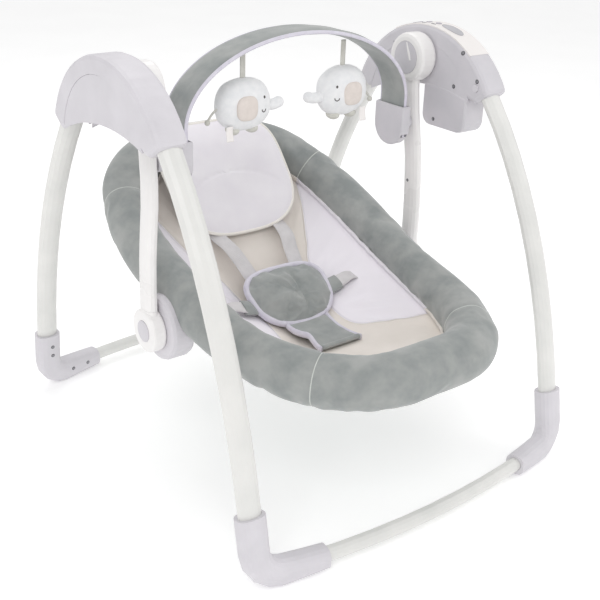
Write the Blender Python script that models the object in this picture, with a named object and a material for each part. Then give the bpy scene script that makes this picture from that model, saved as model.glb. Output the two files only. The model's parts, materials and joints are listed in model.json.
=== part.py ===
"""Portable baby swing: a folding A-frame carries two swing arms, which carry a reclining bucket seat.

Metres, +Z up. The front of the swing, where the feet of the child lie, is at -Y, and the drive is at +X.
The origin is on the floor under the middle of the object, and the swing axis is a little behind it.
"""
import math

import bmesh
import bpy
from mathutils import Matrix, Vector
from mathutils.bvhtree import BVHTree

for old in list(bpy.data.objects):
    bpy.data.objects.remove(old, do_unlink=True)

# ---------------------------------------------------------------- driving dimensions
GAP = 0.0003                      # space left between pieces that touch
SIDES = (("left", -1), ("right", 1))

LEG_HALF_WIDTH = 0.016            # oval leg tube, across the frame
LEG_HALF_DEPTH = 0.010            # oval leg tube, fore and aft
LEG_WALL = 0.0015
LEG_IN_HUB = 0.0275
LEG_IN_FOOT = 0.040
FRONT_LEG = ((0.266, -0.1286, 0.500), (0.269, -0.252, 0.345), (0.2685, -0.301, 0.099))
REAR_LEG = ((0.266, 0.1286, 0.4805), (0.269, 0.251, 0.312), (0.2685, 0.276, 0.099))

FOOT_HALF_WIDTH = 0.0195
FOOT_HALF_DEPTH = 0.0150
FOOT_TIP_HALF = 0.0150            # half height of the elbow where the crossbar enters it
FOOT_ARM_END_X = 0.175
BAR_RADIUS = 0.010
BAR_WALL = 0.0012
BAR_Z = 0.0195
BAR_IN_FOOT = 0.028
FRONT_BAR_MID_Y = -0.346
REAR_BAR_MID_Y = 0.3205

HUB_IN_X = 0.2455
HUB_OUT_X = 0.2885
HUB_TOP_Z = 0.589
HUB_BELLY_Z = 0.505
HUB_OVER_LEG = LEG_HALF_DEPTH + 0.0045
HUB_WALL = 0.0030
HUB_ROUND = 0.006
LOCK_RADIUS = 0.0055
HUB_BLOCK = 0.030                 # solid length of the hub behind the front leg socket
CREASE_TOP_Z = 0.565
CREASE_RADIUS = 0.1115
COVER_PLATE = 0.0022

SWING_AXIS = (0.0, 0.542)         # y and z of the swing and fold axis
SHAFT_RADIUS = 0.005
SLEEVE_RADIUS = 0.011
KNUCKLE_RADIUS = 0.020
PLUG_SLACK = 0.0008
KNUCKLE_IN_X = 0.2625

BOX_FRONT_Y = -0.101              # battery box below the drive
BOX_BACK_Y = -0.012
BOX_BOTTOM_Z = 0.442
BOX_WALL = 0.0025
CELL_RADIUS = 0.00715
CELL_LENGTH = 0.0495

PANEL_FRONT_Y = -0.098
PANEL_BACK_Y = 0.062
PANEL_THICK = 0.0025
KEY_RADIUS = 0.0045
KEY_ROW = (0.030, 0.010, -0.010)   # places of the keys along Y

ARM_HALF_WIDTH = 0.009
ARM_HALF_DEPTH = 0.01575
ARM_TOP_X = 0.228
ARM_LOW_X = 0.2385
ARM_SPLIT_Z = 0.2500
HEAD_RADIUS = 0.036
HEAD_IN_X = 0.2135
HEAD_OUT_X = 0.2442
HEAD_CAP_RADIUS = 0.024

HINGE_Y = -0.014                  # recline hinge
HINGE_Z = 0.218
LOBE_RADIUS = 0.031
LOBE_HALF = 0.0095
RECLINE_DISC_RADIUS = 0.047
RECLINE_DISC_DEEP = 0.0075         # how far the disc's inner face lies outside the seat tube
RECLINE_BUTTON_RADIUS = 0.015
RECLINE_BOSS_RADIUS = 0.012
BUTTON_TRAVEL = 0.002

RIM_CENTRE_Y = -0.0302            # the oval seat rim
RIM_HALF_LENGTH = 0.2787
RIM_HALF_WIDTH = 0.1855
RIM_TAPER = 0.10
RIM_CORNER = 0.68
RIM_HEIGHT = 0.2538
RIM_SLOPE = 0.079
RIM_CURVE = 0.0437
RIM_STEPS = 36
BOLSTER_RADIUS = 0.0340
BOLSTER_SWELL = 0.0045
SEAT_TUBE_RADIUS = 0.008
SEAT_TUBE_WALL = 0.0012
CHANNEL_RADIUS = SEAT_TUBE_RADIUS + 0.0012
TUBE_SLEEVE = 0.0045              # wall of the sleeve that grips the seat tube

PAD_THICK = 0.006
PAD_POWER = 1.5
# middle line of the bucket: place along the seat as a share of the rim, and height from the rim's middle
SPINE = ((-0.914, -0.0518), (-0.609, -0.0638), (-0.376, -0.0778), (-0.161, -0.0848),
         (0.055, -0.0728), (0.288, -0.0278), (0.575, 0.0362), (0.898, 0.1022))

TOY_BAR_Y = -0.008
TOY_BAR_HALF_SPAN = 0.188
TOY_BAR_SPRING_Z = 0.490
TOY_BAR_RISE = 0.109
TOY_BAR_HALF_THICK = 0.0055
TOY_BAR_HALF_WIDTH = 0.028
TOY_BAR_FOOT_Z = 0.432
SOCKET_WALL = 0.0022
SOCKET_HALF_WIDTH = 0.031
SOCKET_Z = 0.447
SOCKET_TOP_Z = 0.478
SOCKET_PIN_RADIUS = 0.004
TOY_X = 0.085
TOY_HALF = (0.044, 0.022, 0.036)
TOY_TOP_Z = 0.545

HEADREST_TOP = (-0.0265, 0.0505)  # y and z from the head end of the rim
HEADREST_RUN = (0.134, 0.144)      # y and z from its lower edge to its top
HEADREST_HALF_WIDTH = 0.110
HEADREST_HALF_THICK = 0.0085
WEB_HALF_WIDTH = 0.0125
WEB_HALF_THICK = 0.0010
BELLY_CENTRE = (0.0, -0.006, 0.221)
BELLY_HALF_WIDTH = 0.071
BELLY_HALF_HEIGHT = 0.050
BELLY_HALF_THICK = 0.0095
BELLY_TILT = 37

# ---------------------------------------------------------------- materials


def linear(channel):
    """One sRGB channel as scene-linear light."""
    return channel / 12.92 if channel <= 0.04045 else ((channel + 0.055) / 1.055) ** 2.4


def finish(name, rgb, roughness, metallic=0.0):
    """A plain Principled material from sRGB numbers between 0 and 255."""
    material = bpy.data.materials.new(name)
    material.use_nodes = True
    shader = material.node_tree.nodes["Principled BSDF"]
    shader.inputs["Base Color"].default_value = [linear(c / 255) for c in rgb] + [1.0]
    shader.inputs["Roughness"].default_value = roughness
    shader.inputs["Metallic"].default_value = metallic
    return material


STEEL_WHITE = finish("painted_steel", (224, 223, 219), 0.35)
LILAC = finish("lilac_plastic", (214, 210, 217), 0.45)
WHITE = finish("white_plastic", (240, 238, 237), 0.40)
VELVET = finish("sage_velvet", (159, 165, 162), 0.90)
COTTON = finish("white_cotton", (240, 234, 242), 0.90)
WEBBING = finish("grey_webbing", (207, 203, 203), 0.80)
PLUSH = finish("toy_plush", (234, 235, 236), 0.95)
BRIGHT = finish("bright_steel", (190, 190, 192), 0.30, 1.0)
COPPER = finish("copper_winding", (184, 115, 70), 0.35, 1.0)
BOARD = finish("circuit_board", (40, 95, 60), 0.50)
DARK = finish("dark_plastic", (60, 60, 64), 0.50)
CELL = finish("cell_wrap", (70, 72, 78), 0.35)

# ---------------------------------------------------------------- shape tools


def smoothstep(value):
    """Zero to one with soft ends."""
    value = min(max(value, 0.0), 1.0)
    return value * value * (3 - 2 * value)


def solid(name, points, faces, material, smooth=38):
    """An object from closed faces, turned outwards and shaded smooth under the given angle."""
    mesh = bpy.data.meshes.new(name)
    shape = bmesh.new()
    corners = [shape.verts.new(p) for p in points]
    for face in faces:
        shape.faces.new([corners[i] for i in face])
    bmesh.ops.remove_doubles(shape, verts=shape.verts, dist=0.000001)
    bmesh.ops.recalc_face_normals(shape, faces=shape.faces)
    shape.to_mesh(mesh)
    shape.free()
    mesh.shade_smooth()
    mesh.set_sharp_from_angle(angle=math.radians(smooth))
    mesh.materials.append(material)
    piece = bpy.data.objects.new(name, mesh)
    bpy.context.scene.collection.objects.link(piece)
    return piece


def settle(piece):
    """Give the piece the mesh that its modifiers make."""
    graph = bpy.context.evaluated_depsgraph_get()
    mesh = bpy.data.meshes.new_from_object(piece.evaluated_get(graph), depsgraph=graph)
    piece.modifiers.clear()
    piece.data = mesh
    mesh.shade_smooth()
    mesh.set_sharp_from_angle(angle=math.radians(38))


def combine(piece, tools, operation="DIFFERENCE"):
    """Cut the tools out of the piece, or join them to it, and remove them."""
    for tool in tools:
        step = piece.modifiers.new("combine", "BOOLEAN")
        step.object = tool
        step.operation = operation
        step.solver = "EXACT"
        settle(piece)
        bpy.data.objects.remove(tool, do_unlink=True)
    return piece


def soften(piece, width, segments=2, angle=40):
    """Round the edges that are sharper than the angle."""
    step = piece.modifiers.new("soften", "BEVEL")
    step.width = width
    step.segments = segments
    step.limit_method = "ANGLE"
    step.angle_limit = math.radians(angle)
    settle(piece)
    return piece


def loft(name, rings, material, bore=None, closed=False):
    """Skin a row of rings. With bore rings the piece is a tube with open ends."""
    count = len(rings[0])
    points = [p for ring in rings for p in ring]
    faces = []
    rows = len(rings)
    for row in range(rows if closed else rows - 1):
        a, b = row * count, (row + 1) % rows * count
        faces += [(a + k, a + (k + 1) % count, b + (k + 1) % count, b + k) for k in range(count)]
    if closed:
        return solid(name, points, faces, material)
    if bore is None:
        faces += [tuple(range(count)), tuple(range((rows - 1) * count, rows * count))]
        return solid(name, points, faces, material)
    base = len(points)
    points += [p for ring in bore for p in ring]
    for row in range(rows - 1):
        a, b = base + row * count, base + (row + 1) * count
        faces += [(a + k, b + k, b + (k + 1) % count, a + (k + 1) % count) for k in range(count)]
    for row in (0, rows - 1):
        a, b = row * count, base + row * count
        faces += [(a + k, a + (k + 1) % count, b + (k + 1) % count, b + k) for k in range(count)]
    return solid(name, points, faces, material)


def directions(path, closed=False):
    """Unit direction of travel at each point of a path."""
    total = len(path)
    result = []
    for k in range(total):
        ahead = path[(k + 1) % total] if closed else path[min(k + 1, total - 1)]
        behind = path[k - 1] if closed else path[max(k - 1, 0)]
        result.append((ahead - behind).normalized())
    return result


def rings_along(path, side, half_a, half_b, count, power=2.0, closed=False):
    """Oval rings across a path: half_a lies along the side direction, half_b across it."""
    rings = []
    for k, (place, ahead) in enumerate(zip(path, directions(path, closed))):
        across = (side - ahead * side.dot(ahead)).normalized()
        other = ahead.cross(across)
        a = half_a[k] if isinstance(half_a, list) else half_a
        b = half_b[k] if isinstance(half_b, list) else half_b
        ring = []
        for turn in range(count):
            angle = 2 * math.pi * (turn + 0.5) / count
            c, s = math.cos(angle), math.sin(angle)
            u = math.copysign(abs(c) ** (2 / power), c)
            v = math.copysign(abs(s) ** (2 / power), s)
            ring.append(place + across * (a * u) + other * (b * v))
        rings.append(ring)
    return rings


def prism(name, outline, low_x, high_x, material):
    """A side-view outline of (y, z) points, given thickness along X."""
    low_x, high_x = sorted((low_x, high_x))
    rings = [[Vector((x, y, z)) for y, z in outline] for x in (low_x, high_x)]
    return loft(name, rings, material)


def disc(name, centre, radius, low_x, high_x, material, bore=0.0, count=28):
    """A round piece whose axis lies along X, with an open bore if one is given."""
    low_x, high_x = sorted((low_x, high_x))

    def ring(x, size):
        turns = [2 * math.pi * k / count for k in range(count)]
        return [Vector((x, centre[0] + size * math.cos(t), centre[1] + size * math.sin(t))) for t in turns]

    outer = [ring(low_x, radius), ring(high_x, radius)]
    inner = [ring(low_x, bore), ring(high_x, bore)] if bore else None
    return loft(name, outer, material, bore=inner)


def rod(name, start, end, radius, material, count=16):
    """A round bar between two points."""
    path = [Vector(start), Vector(end)]
    ahead = (path[1] - path[0]).normalized()
    side = Vector((0, 0, 1)) if abs(ahead.z) < 0.9 else Vector((0, 1, 0))
    return loft(name, rings_along(path, side, radius, radius, count), material)


def block(name, low, high, material):
    """A box between two corners."""
    outline = [(low[1], low[2]), (high[1], low[2]), (high[1], high[2]), (low[1], high[2])]
    return prism(name, outline, low[0], high[0], material)


def circle_through(a, b, c):
    """Centre and radius of the circle through three side-view points."""
    d = 2 * (a[0] * (b[1] - c[1]) + b[0] * (c[1] - a[1]) + c[0] * (a[1] - b[1]))
    squares = [p[0] ** 2 + p[1] ** 2 for p in (a, b, c)]
    y = (squares[0] * (b[1] - c[1]) + squares[1] * (c[1] - a[1]) + squares[2] * (a[1] - b[1])) / d
    z = (squares[0] * (c[0] - b[0]) + squares[1] * (a[0] - c[0]) + squares[2] * (b[0] - a[0])) / d
    return (y, z), math.hypot(a[0] - y, a[1] - z)


def arc(centre, radius, start, end, steps):
    """Points on a circle between two angles in radians."""
    turns = [start + (end - start) * k / steps for k in range(steps + 1)]
    return [(centre[0] + radius * math.cos(t), centre[1] + radius * math.sin(t)) for t in turns]


def notched_arc(centre, radius, start, end, notch=math.radians(6)):
    """An arc whose inner points lie on a fixed dial of angles, so that nested arcs stay apart."""
    marks = [k * notch for k in range(-30, 61)]
    inside = [t for t in marks if min(start, end) + 0.2 * notch < t < max(start, end) - 0.2 * notch]
    if start > end:
        inside.reverse()
    turns = [start] + inside + [end]
    return [(centre[0] + radius * math.cos(t), centre[1] + radius * math.sin(t)) for t in turns]


def bearing(centre, point):
    """Angle of a point as seen from a centre."""
    return math.atan2(point[1] - centre[1], point[0] - centre[0])


def crossing(centre_a, radius_a, centre_b, radius_b, sign):
    """Where two circles cross, on the side of +Y or -Y given by the sign."""
    span = Vector((centre_b[0] - centre_a[0], centre_b[1] - centre_a[1]))
    along = (radius_a ** 2 - radius_b ** 2 + span.length ** 2) / (2 * span.length)
    out = math.sqrt(radius_a ** 2 - along ** 2)
    ahead = span.normalized()
    across = Vector((ahead.y, -ahead.x))
    if across.x * sign < 0:
        across = -across
    place = Vector(centre_a) + ahead * along + across * out
    return (place.x, place.y)


# ---------------------------------------------------------------- legs, feet and crossbars


def leg_path(leg, side, top_run, foot_run):
    """Centre line of a leg: a straight run in the hub, a bow, and a straight run in the foot."""
    hub, bow, foot = (Vector((side * x, y, z)) for x, y, z in leg)
    steps = 9
    bend = []
    for k in range(steps + 1):
        t = k / steps
        bend.append(hub * (1 - t) ** 2 + bow * (2 * t * (1 - t)) + foot * t ** 2)
    top = hub - (bow - hub).normalized() * top_run
    bottom = foot + (foot - bow).normalized() * foot_run
    return [top] + bend + [bottom]


def make_leg(name, leg, side):
    """Oval steel tube with open ends."""
    path = leg_path(leg, side, LEG_IN_HUB, LEG_IN_FOOT)
    across = Vector((1, 0, 0))
    outer = rings_along(path, across, LEG_HALF_WIDTH, LEG_HALF_DEPTH, 14)
    inner = rings_along(path, across, LEG_HALF_WIDTH - LEG_WALL, LEG_HALF_DEPTH - LEG_WALL, 14)
    return loft(name, outer, STEEL_WHITE, bore=inner)


def leg_cutter(leg, side, top_run, foot_run):
    """The space a leg needs in the piece that holds it."""
    path = leg_path(leg, side, top_run, foot_run)
    across = Vector((1, 0, 0))
    return loft("space", rings_along(path, across, LEG_HALF_WIDTH + GAP, LEG_HALF_DEPTH + GAP, 14), DARK)


def bar_y(leg, mid_y, x):
    """The crossbar bows from the feet to its middle."""
    foot = leg_path(leg, 1, LEG_IN_HUB, LEG_IN_FOOT)
    run = foot[-1] - foot[-2]
    foot_y = foot[-2].y + run.y * (BAR_Z - foot[-2].z) / run.z
    return mid_y + (foot_y - mid_y) * (x / leg[2][0]) ** 2


def make_bar(name, leg, mid_y):
    """Round steel crossbar between the two feet."""
    reach = FOOT_ARM_END_X + BAR_IN_FOOT
    steps = 8
    path = []
    for k in range(steps + 1):
        x = -reach + 2 * reach * k / steps
        path.append(Vector((x, bar_y(leg, mid_y, x), BAR_Z)))
    up = Vector((0, 0, 1))
    outer = rings_along(path, up, BAR_RADIUS, BAR_RADIUS, 12)
    inner = rings_along(path, up, BAR_RADIUS - BAR_WALL, BAR_RADIUS - BAR_WALL, 12)
    return loft(name, outer, STEEL_WHITE, bore=inner)


def make_foot(name, leg, mid_y, side):
    """Moulded elbow: an upright socket for the leg and a level one for the crossbar."""
    leg_x, _, top_z = leg[2]
    turn = 0.0305
    centre = (leg_x - turn, BAR_Z - 0.001 + turn)
    route = [(leg_x, top_z), (leg_x, (top_z + centre[1]) / 2)]
    route += [(centre[0] + turn * math.cos(t), centre[1] - turn * math.sin(t))
              for t in (0, math.pi / 8, math.pi / 4, 3 * math.pi / 8, math.pi / 2)]
    route += [((centre[0] + FOOT_ARM_END_X) / 2, BAR_Z - 0.001), (FOOT_ARM_END_X, BAR_Z - 0.001)]
    lean = leg_path(leg, 1, 0, LEG_IN_FOOT)
    path, tall = [], []
    for k, (x, z) in enumerate(route):
        run = lean[-1] - lean[-2]
        upright_y = lean[-2].y + run.y * (z - lean[-2].z) / run.z
        share = smoothstep((leg_x - x) / turn)
        path.append(Vector((side * x, upright_y * (1 - share) + bar_y(leg, mid_y, x) * share, z)))
        late = max(0.0, (k - 6) / 2)
        tall.append(FOOT_HALF_WIDTH + (FOOT_TIP_HALF - FOOT_HALF_WIDTH) * late)
    foot = loft(name, rings_along(path, Vector((0, 1, 0)), FOOT_HALF_DEPTH, tall, 16, 2.7), LILAC)
    reach = FOOT_ARM_END_X + BAR_IN_FOOT + GAP
    bar = [Vector((side * x, bar_y(leg, mid_y, x), BAR_Z)) for x in (reach, 0.5 * (reach + 0.165), 0.165)]
    bar_space = loft("space", rings_along(bar, Vector((0, 0, 1)), BAR_RADIUS + GAP, BAR_RADIUS + GAP, 12), DARK)
    floor = block("floor", (-0.4, -0.5, -0.03), (0.4, 0.5, 0.0), DARK)
    return combine(foot, [leg_cutter(leg, side, 0, LEG_IN_FOOT + GAP), bar_space, floor])


for label, sign in SIDES:
    make_leg("front_leg_" + label, FRONT_LEG, sign)
    make_leg("rear_leg_" + label, REAR_LEG, sign)
    make_foot("front_foot_" + label, FRONT_LEG, FRONT_BAR_MID_Y, sign)
    make_foot("rear_foot_" + label, REAR_LEG, REAR_BAR_MID_Y, sign)
make_bar("front_crossbar", FRONT_LEG, FRONT_BAR_MID_Y)
make_bar("rear_crossbar", REAR_LEG, REAR_BAR_MID_Y)

# ---------------------------------------------------------------- hubs


def leg_exit(leg):
    """Side-view place, direction down the leg and outward normal where a leg leaves its hub."""
    place = Vector((leg[0][1], leg[0][2]))
    down = (Vector((leg[1][1], leg[1][2])) - place).normalized()
    normal = Vector((down.y, -down.x))
    if normal.y < 0:
        normal = -normal
    return place, down, normal


FRONT_EXIT, FRONT_DOWN, FRONT_OUT = leg_exit(FRONT_LEG)
REAR_EXIT, REAR_DOWN, REAR_OUT = leg_exit(REAR_LEG)
FRONT_TIP = FRONT_EXIT + FRONT_OUT * HUB_OVER_LEG
REAR_TIP = REAR_EXIT + REAR_OUT * HUB_OVER_LEG
FRONT_HEEL = FRONT_EXIT - FRONT_OUT * HUB_OVER_LEG
REAR_HEEL = REAR_EXIT - REAR_OUT * HUB_OVER_LEG
CROWN, CROWN_RADIUS = circle_through(FRONT_TIP, (0.0, HUB_TOP_Z), REAR_TIP)
BELLY, BELLY_RADIUS = circle_through(FRONT_HEEL, (0.0, HUB_BELLY_Z), REAR_HEEL)
CREASE = (0.0, CREASE_TOP_Z - CREASE_RADIUS)
BLOCK_END_Y = FRONT_EXIT.x + HUB_BLOCK


def lens_outline(inset, drop):
    """Side cover outline: the crease arc above, and the belly arc lowered by the drop below."""
    radius = CREASE_RADIUS - inset
    belly = BELLY_RADIUS - drop
    front = crossing(CREASE, radius, BELLY, belly, -1)
    rear = crossing(CREASE, radius, BELLY, belly, 1)
    rear_turn, front_turn = bearing(CREASE, rear) % (2 * math.pi), bearing(CREASE, front) % (2 * math.pi)
    if rear_turn > math.pi * 1.5:
        rear_turn -= 2 * math.pi
    top = notched_arc(CREASE, radius, rear_turn, front_turn)
    low = arc(BELLY, belly, bearing(BELLY, front), bearing(BELLY, rear), 10)
    return top + low[1:-1]


def make_arch(name, side):
    """Outer shell of a hub: a hollow arch, open below, with a solid socket for the front leg."""
    top = arc(CROWN, CROWN_RADIUS, bearing(CROWN, FRONT_TIP), bearing(CROWN, REAR_TIP), 22)
    low = arc(BELLY, BELLY_RADIUS, bearing(BELLY, REAR_HEEL), bearing(BELLY, FRONT_HEEL), 12)
    arch = soften(prism(name, top + low, side * HUB_IN_X, side * HUB_OUT_X, LILAC), HUB_ROUND, 2, 50)
    thick, thin = CROWN_RADIUS - HUB_WALL - PANEL_THICK, CROWN_RADIUS - HUB_WALL
    step_turn = math.acos((PANEL_BACK_Y + 0.006 - CROWN[0]) / thick)
    last_turn = bearing(CROWN, REAR_EXIT + REAR_OUT * (HUB_OVER_LEG - HUB_WALL))
    hollow = []
    if side > 0:
        hollow += arc(CROWN, thick, math.acos((BLOCK_END_Y - CROWN[0]) / thick), step_turn, 14)
        hollow += arc(CROWN, thin, step_turn, last_turn, 6)
    else:
        hollow += arc(CROWN, thin, math.acos((BLOCK_END_Y - CROWN[0]) / thin), last_turn, 20)
    past = REAR_TIP + REAR_DOWN * 0.02
    hollow += [tuple(past), (past.x, 0.40), (BLOCK_END_Y, 0.40)]
    near, far = HUB_IN_X + HUB_WALL, HUB_OUT_X - HUB_WALL
    tools = [prism("hollow", hollow, side * near, side * far, DARK)]
    window = lens_outline(0.0, 0.03)
    tools.append(prism("window", window, side * (HUB_IN_X - 0.001), side * (near + 0.0005), DARK))
    tools.append(prism("window", window, side * (far - 0.0005), side * (HUB_OUT_X + 0.001), DARK))
    tools.append(leg_cutter(FRONT_LEG, side, LEG_IN_HUB + GAP, LEG_IN_FOOT))
    return combine(arch, tools)


def lock_button_place():
    """Side-view centre of the snap button that holds the front leg in its hub."""
    return FRONT_EXIT - FRONT_DOWN * 0.019


def make_lock_button(name, side):
    """Round snap button through the hub wall and the leg tube."""
    place = lock_button_place()
    inner_x = FRONT_LEG[0][0] - LEG_HALF_WIDTH + LEG_WALL
    low, high = HUB_IN_X - 0.0015, inner_x + 0.0025
    for target in ("hub_arch_", "front_leg_"):
        hole = disc("hole", place, LOCK_RADIUS + GAP, side * (low - 0.002), side * (high + 0.002), DARK, count=18)
        combine(bpy.data.objects[target + name], [hole])
    return disc("leg_lock_button_" + name, place, LOCK_RADIUS, side * low, side * high, LILAC, count=18)


def make_knuckle(name, side):
    """Top of the rear leg: a plug in the tube, a cheek, and a ring on the fold pivot."""
    tube_top = REAR_EXIT - REAR_DOWN * LEG_IN_HUB
    leg_x = REAR_LEG[0][0]
    path, wide, deep = [], [], []
    plug_wide = LEG_HALF_WIDTH - LEG_WALL - PLUG_SLACK
    plug_deep = LEG_HALF_DEPTH - LEG_WALL - PLUG_SLACK
    for run, a, b in ((0.022, plug_wide, plug_deep), (-0.006, plug_wide, plug_deep)):
        place = tube_top + REAR_DOWN * run
        path.append(Vector((side * leg_x, place.x, place.y)))
        wide.append(a)
        deep.append(b)
    plug = loft(name, rings_along(path, Vector((1, 0, 0)), wide, deep, 14), LILAC)
    outer = [tube_top + REAR_OUT * LEG_HALF_DEPTH, tube_top - REAR_OUT * LEG_HALF_DEPTH]
    step = REAR_DOWN * GAP
    low_ring = (SWING_AXIS[0], SWING_AXIS[1] - KNUCKLE_RADIUS + 0.003)
    high_ring = (SWING_AXIS[0], SWING_AXIS[1] + KNUCKLE_RADIUS - 0.003)
    cheek = [tuple(outer[0] - step), tuple(outer[1] - step), low_ring, high_ring]
    low_x, high_x = leg_x - LEG_HALF_WIDTH + 0.003, leg_x + LEG_HALF_WIDTH + 0.0015
    web = [tuple(outer[0] - step), tuple(outer[1] - step),
           tuple(outer[1] - REAR_DOWN * 0.016), tuple(outer[0] - REAR_DOWN * 0.016)]
    parts = [prism("web", web, side * low_x, side * high_x, LILAC),
             prism("cheek", cheek, side * KNUCKLE_IN_X, side * (high_x + 0.0004), LILAC),
             disc("ring", SWING_AXIS, KNUCKLE_RADIUS, side * (KNUCKLE_IN_X - 0.0003), side * (high_x + 0.0008), LILAC)]
    combine(plug, parts, "UNION")
    bore = disc("bore", SWING_AXIS, SLEEVE_RADIUS + GAP, side * 0.24, side * 0.30, DARK)
    return combine(plug, [bore])


for label, sign in SIDES:
    make_arch("hub_arch_" + label, sign)
    make_lock_button(label, sign)
    make_knuckle("rear_knuckle_" + label, sign)
    cover = prism("hub_side_cover_" + label, lens_outline(GAP, GAP), sign * (HUB_OUT_X - HUB_WALL + GAP),
                  sign * (HUB_OUT_X - HUB_WALL + GAP + COVER_PLATE), LILAC)
    plate_in = HUB_IN_X + GAP
    plate = prism("hub_inner_cover_" + label if sign < 0 else "motor_housing", lens_outline(GAP, 0.004),
                  sign * plate_in, sign * (plate_in + COVER_PLATE), LILAC)
    bore = disc("bore", SWING_AXIS, SHAFT_RADIUS + GAP, sign * 0.24, sign * 0.26, DARK, count=20)
    combine(plate, [bore])
    sleeve_low, sleeve_high = KNUCKLE_IN_X - 0.002, HUB_OUT_X - HUB_WALL
    disc("pivot_sleeve_" + label, SWING_AXIS, SLEEVE_RADIUS, sign * sleeve_low, sign * sleeve_high, BRIGHT,
         bore=SHAFT_RADIUS + GAP)

# ---------------------------------------------------------------- drive and battery box on the right hub


def box_outline(inset, roof):
    """Side view of the battery box, with round bottom corners and a roof that follows the hub's belly."""
    front, back = BOX_FRONT_Y + inset, BOX_BACK_Y - inset
    bottom = BOX_BOTTOM_Z + inset
    turn = 0.016 - inset
    low = arc((front + turn, bottom + turn), turn, math.pi, 1.5 * math.pi, 4)
    low += arc((back - turn, bottom + turn), turn, 1.5 * math.pi, 2 * math.pi, 4)
    radius = BELLY_RADIUS - roof
    top = [(y, BELLY[1] + math.sqrt(radius ** 2 - (y - BELLY[0]) ** 2))
           for y in (back, back * 0.75 + front * 0.25, (back + front) / 2, back * 0.25 + front * 0.75, front)]
    return low + top


BOX_IN_X = HUB_IN_X - 0.0005
BOX_OUT_X = HUB_OUT_X - 0.0025
housing = bpy.data.objects["motor_housing"]
shell = soften(prism("shell", box_outline(0.0, 0.0005), BOX_IN_X, BOX_OUT_X, LILAC), 0.003, 2, 60)
combine(housing, [shell], "UNION")
well = prism("well", box_outline(BOX_WALL, -0.02), HUB_IN_X + GAP + COVER_PLATE, BOX_OUT_X - BOX_WALL, DARK)
DOOR_LOW = (HUB_IN_X + 0.0045, BOX_FRONT_Y + 0.016, BOX_BOTTOM_Z + 0.0004)
DOOR_HIGH = (BOX_OUT_X - 0.0045, BOX_BACK_Y - 0.016, BOX_BOTTOM_Z + BOX_WALL - GAP)
opening = block("opening", [c - GAP for c in DOOR_LOW[:2]] + [BOX_BOTTOM_Z - 0.01],
                [c + GAP for c in DOOR_HIGH[:2]] + [BOX_BOTTOM_Z + 0.004], DARK)
combine(housing, [well, opening])
block("battery_door", DOOR_LOW, DOOR_HIGH, LILAC)

cell_y = (BOX_FRONT_Y + BOX_BACK_Y) / 2
cell_x = (HUB_IN_X + BOX_OUT_X) / 2
pitch = 2 * CELL_RADIUS + 0.0006
for number in range(4):
    x = cell_x + (number % 2 - 0.5) * pitch
    z = DOOR_HIGH[2] + GAP + CELL_RADIUS + (number // 2) * pitch
    rod("battery_%d" % (number + 1), (x, cell_y - CELL_LENGTH / 2, z), (x, cell_y + CELL_LENGTH / 2, z),
        CELL_RADIUS, CELL, 14)

INNER_FACE_X = HUB_IN_X + GAP + COVER_PLATE
OUTER_FACE_X = HUB_OUT_X - HUB_WALL + GAP
MAGNET_FACE_X = KNUCKLE_IN_X + 0.004
COIL_PLACE = (SWING_AXIS[0] - 0.040, SWING_AXIS[1] - 0.020)
disc("drive_coil", COIL_PLACE, 0.014, MAGNET_FACE_X + 0.0025, OUTER_FACE_X - GAP, COPPER, bore=0.004, count=20)
block("circuit_board", (INNER_FACE_X + 0.0005, -0.078, 0.5445), (INNER_FACE_X + 0.0021, -0.030, 0.5585), BOARD)

# ---------------------------------------------------------------- control panel and its keys
panel_turns = [math.acos((y - CROWN[0]) / CROWN_RADIUS) for y in (PANEL_BACK_Y, PANEL_FRONT_Y)]
low_turn, high_turn = panel_turns
skin = arc(CROWN, CROWN_RADIUS, low_turn, high_turn, 14)
under = arc(CROWN, CROWN_RADIUS - PANEL_THICK, high_turn, low_turn, 14)
panel = prism("control_panel", skin + under, HUB_IN_X + 0.002, HUB_OUT_X - 0.002, WHITE)
slack = GAP / CROWN_RADIUS
skin = arc(CROWN, CROWN_RADIUS + 0.01, low_turn - slack, high_turn + slack, 14)
under = arc(CROWN, CROWN_RADIUS - PANEL_THICK - GAP, high_turn + slack, low_turn - slack, 14)
seat = prism("seat", skin + under, HUB_IN_X + 0.002 - GAP, HUB_OUT_X - 0.002 + GAP, DARK)
arch = bpy.data.objects["hub_arch_right"]
combine(arch, [seat])


def key_way(y):
    """Outward direction of the key at a distance along the panel."""
    turn = math.acos((y - CROWN[0]) / CROWN_RADIUS)
    return Vector((0, math.cos(turn), math.sin(turn)))


def key_foot(y):
    """Inner end of that key."""
    return Vector(((HUB_IN_X + HUB_OUT_X) / 2, CROWN[0], CROWN[1])) + key_way(y) * (CROWN_RADIUS - 0.0045)


for number, y in enumerate(KEY_ROW):
    up, foot = key_way(y), key_foot(y)
    for piece in (panel, arch):
        combine(piece, [rod("hole", foot - up * 0.01, foot + up * 0.02, KEY_RADIUS + GAP, DARK, 14)])
    rod("control_key_%d" % (number + 1), foot, foot + up * 0.0055, KEY_RADIUS, LILAC, 14)

# ---------------------------------------------------------------- swing arms, shafts and magnet lever


def arm_place(side, z):
    """Centre line of a swing arm at a height: it leans outwards and a little forwards."""
    x = ARM_TOP_X + (ARM_LOW_X - ARM_TOP_X) * smoothstep((0.475 - z) / 0.19)
    return Vector((side * x, HINGE_Y * smoothstep((0.52 - z) / 0.14), z))


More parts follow.
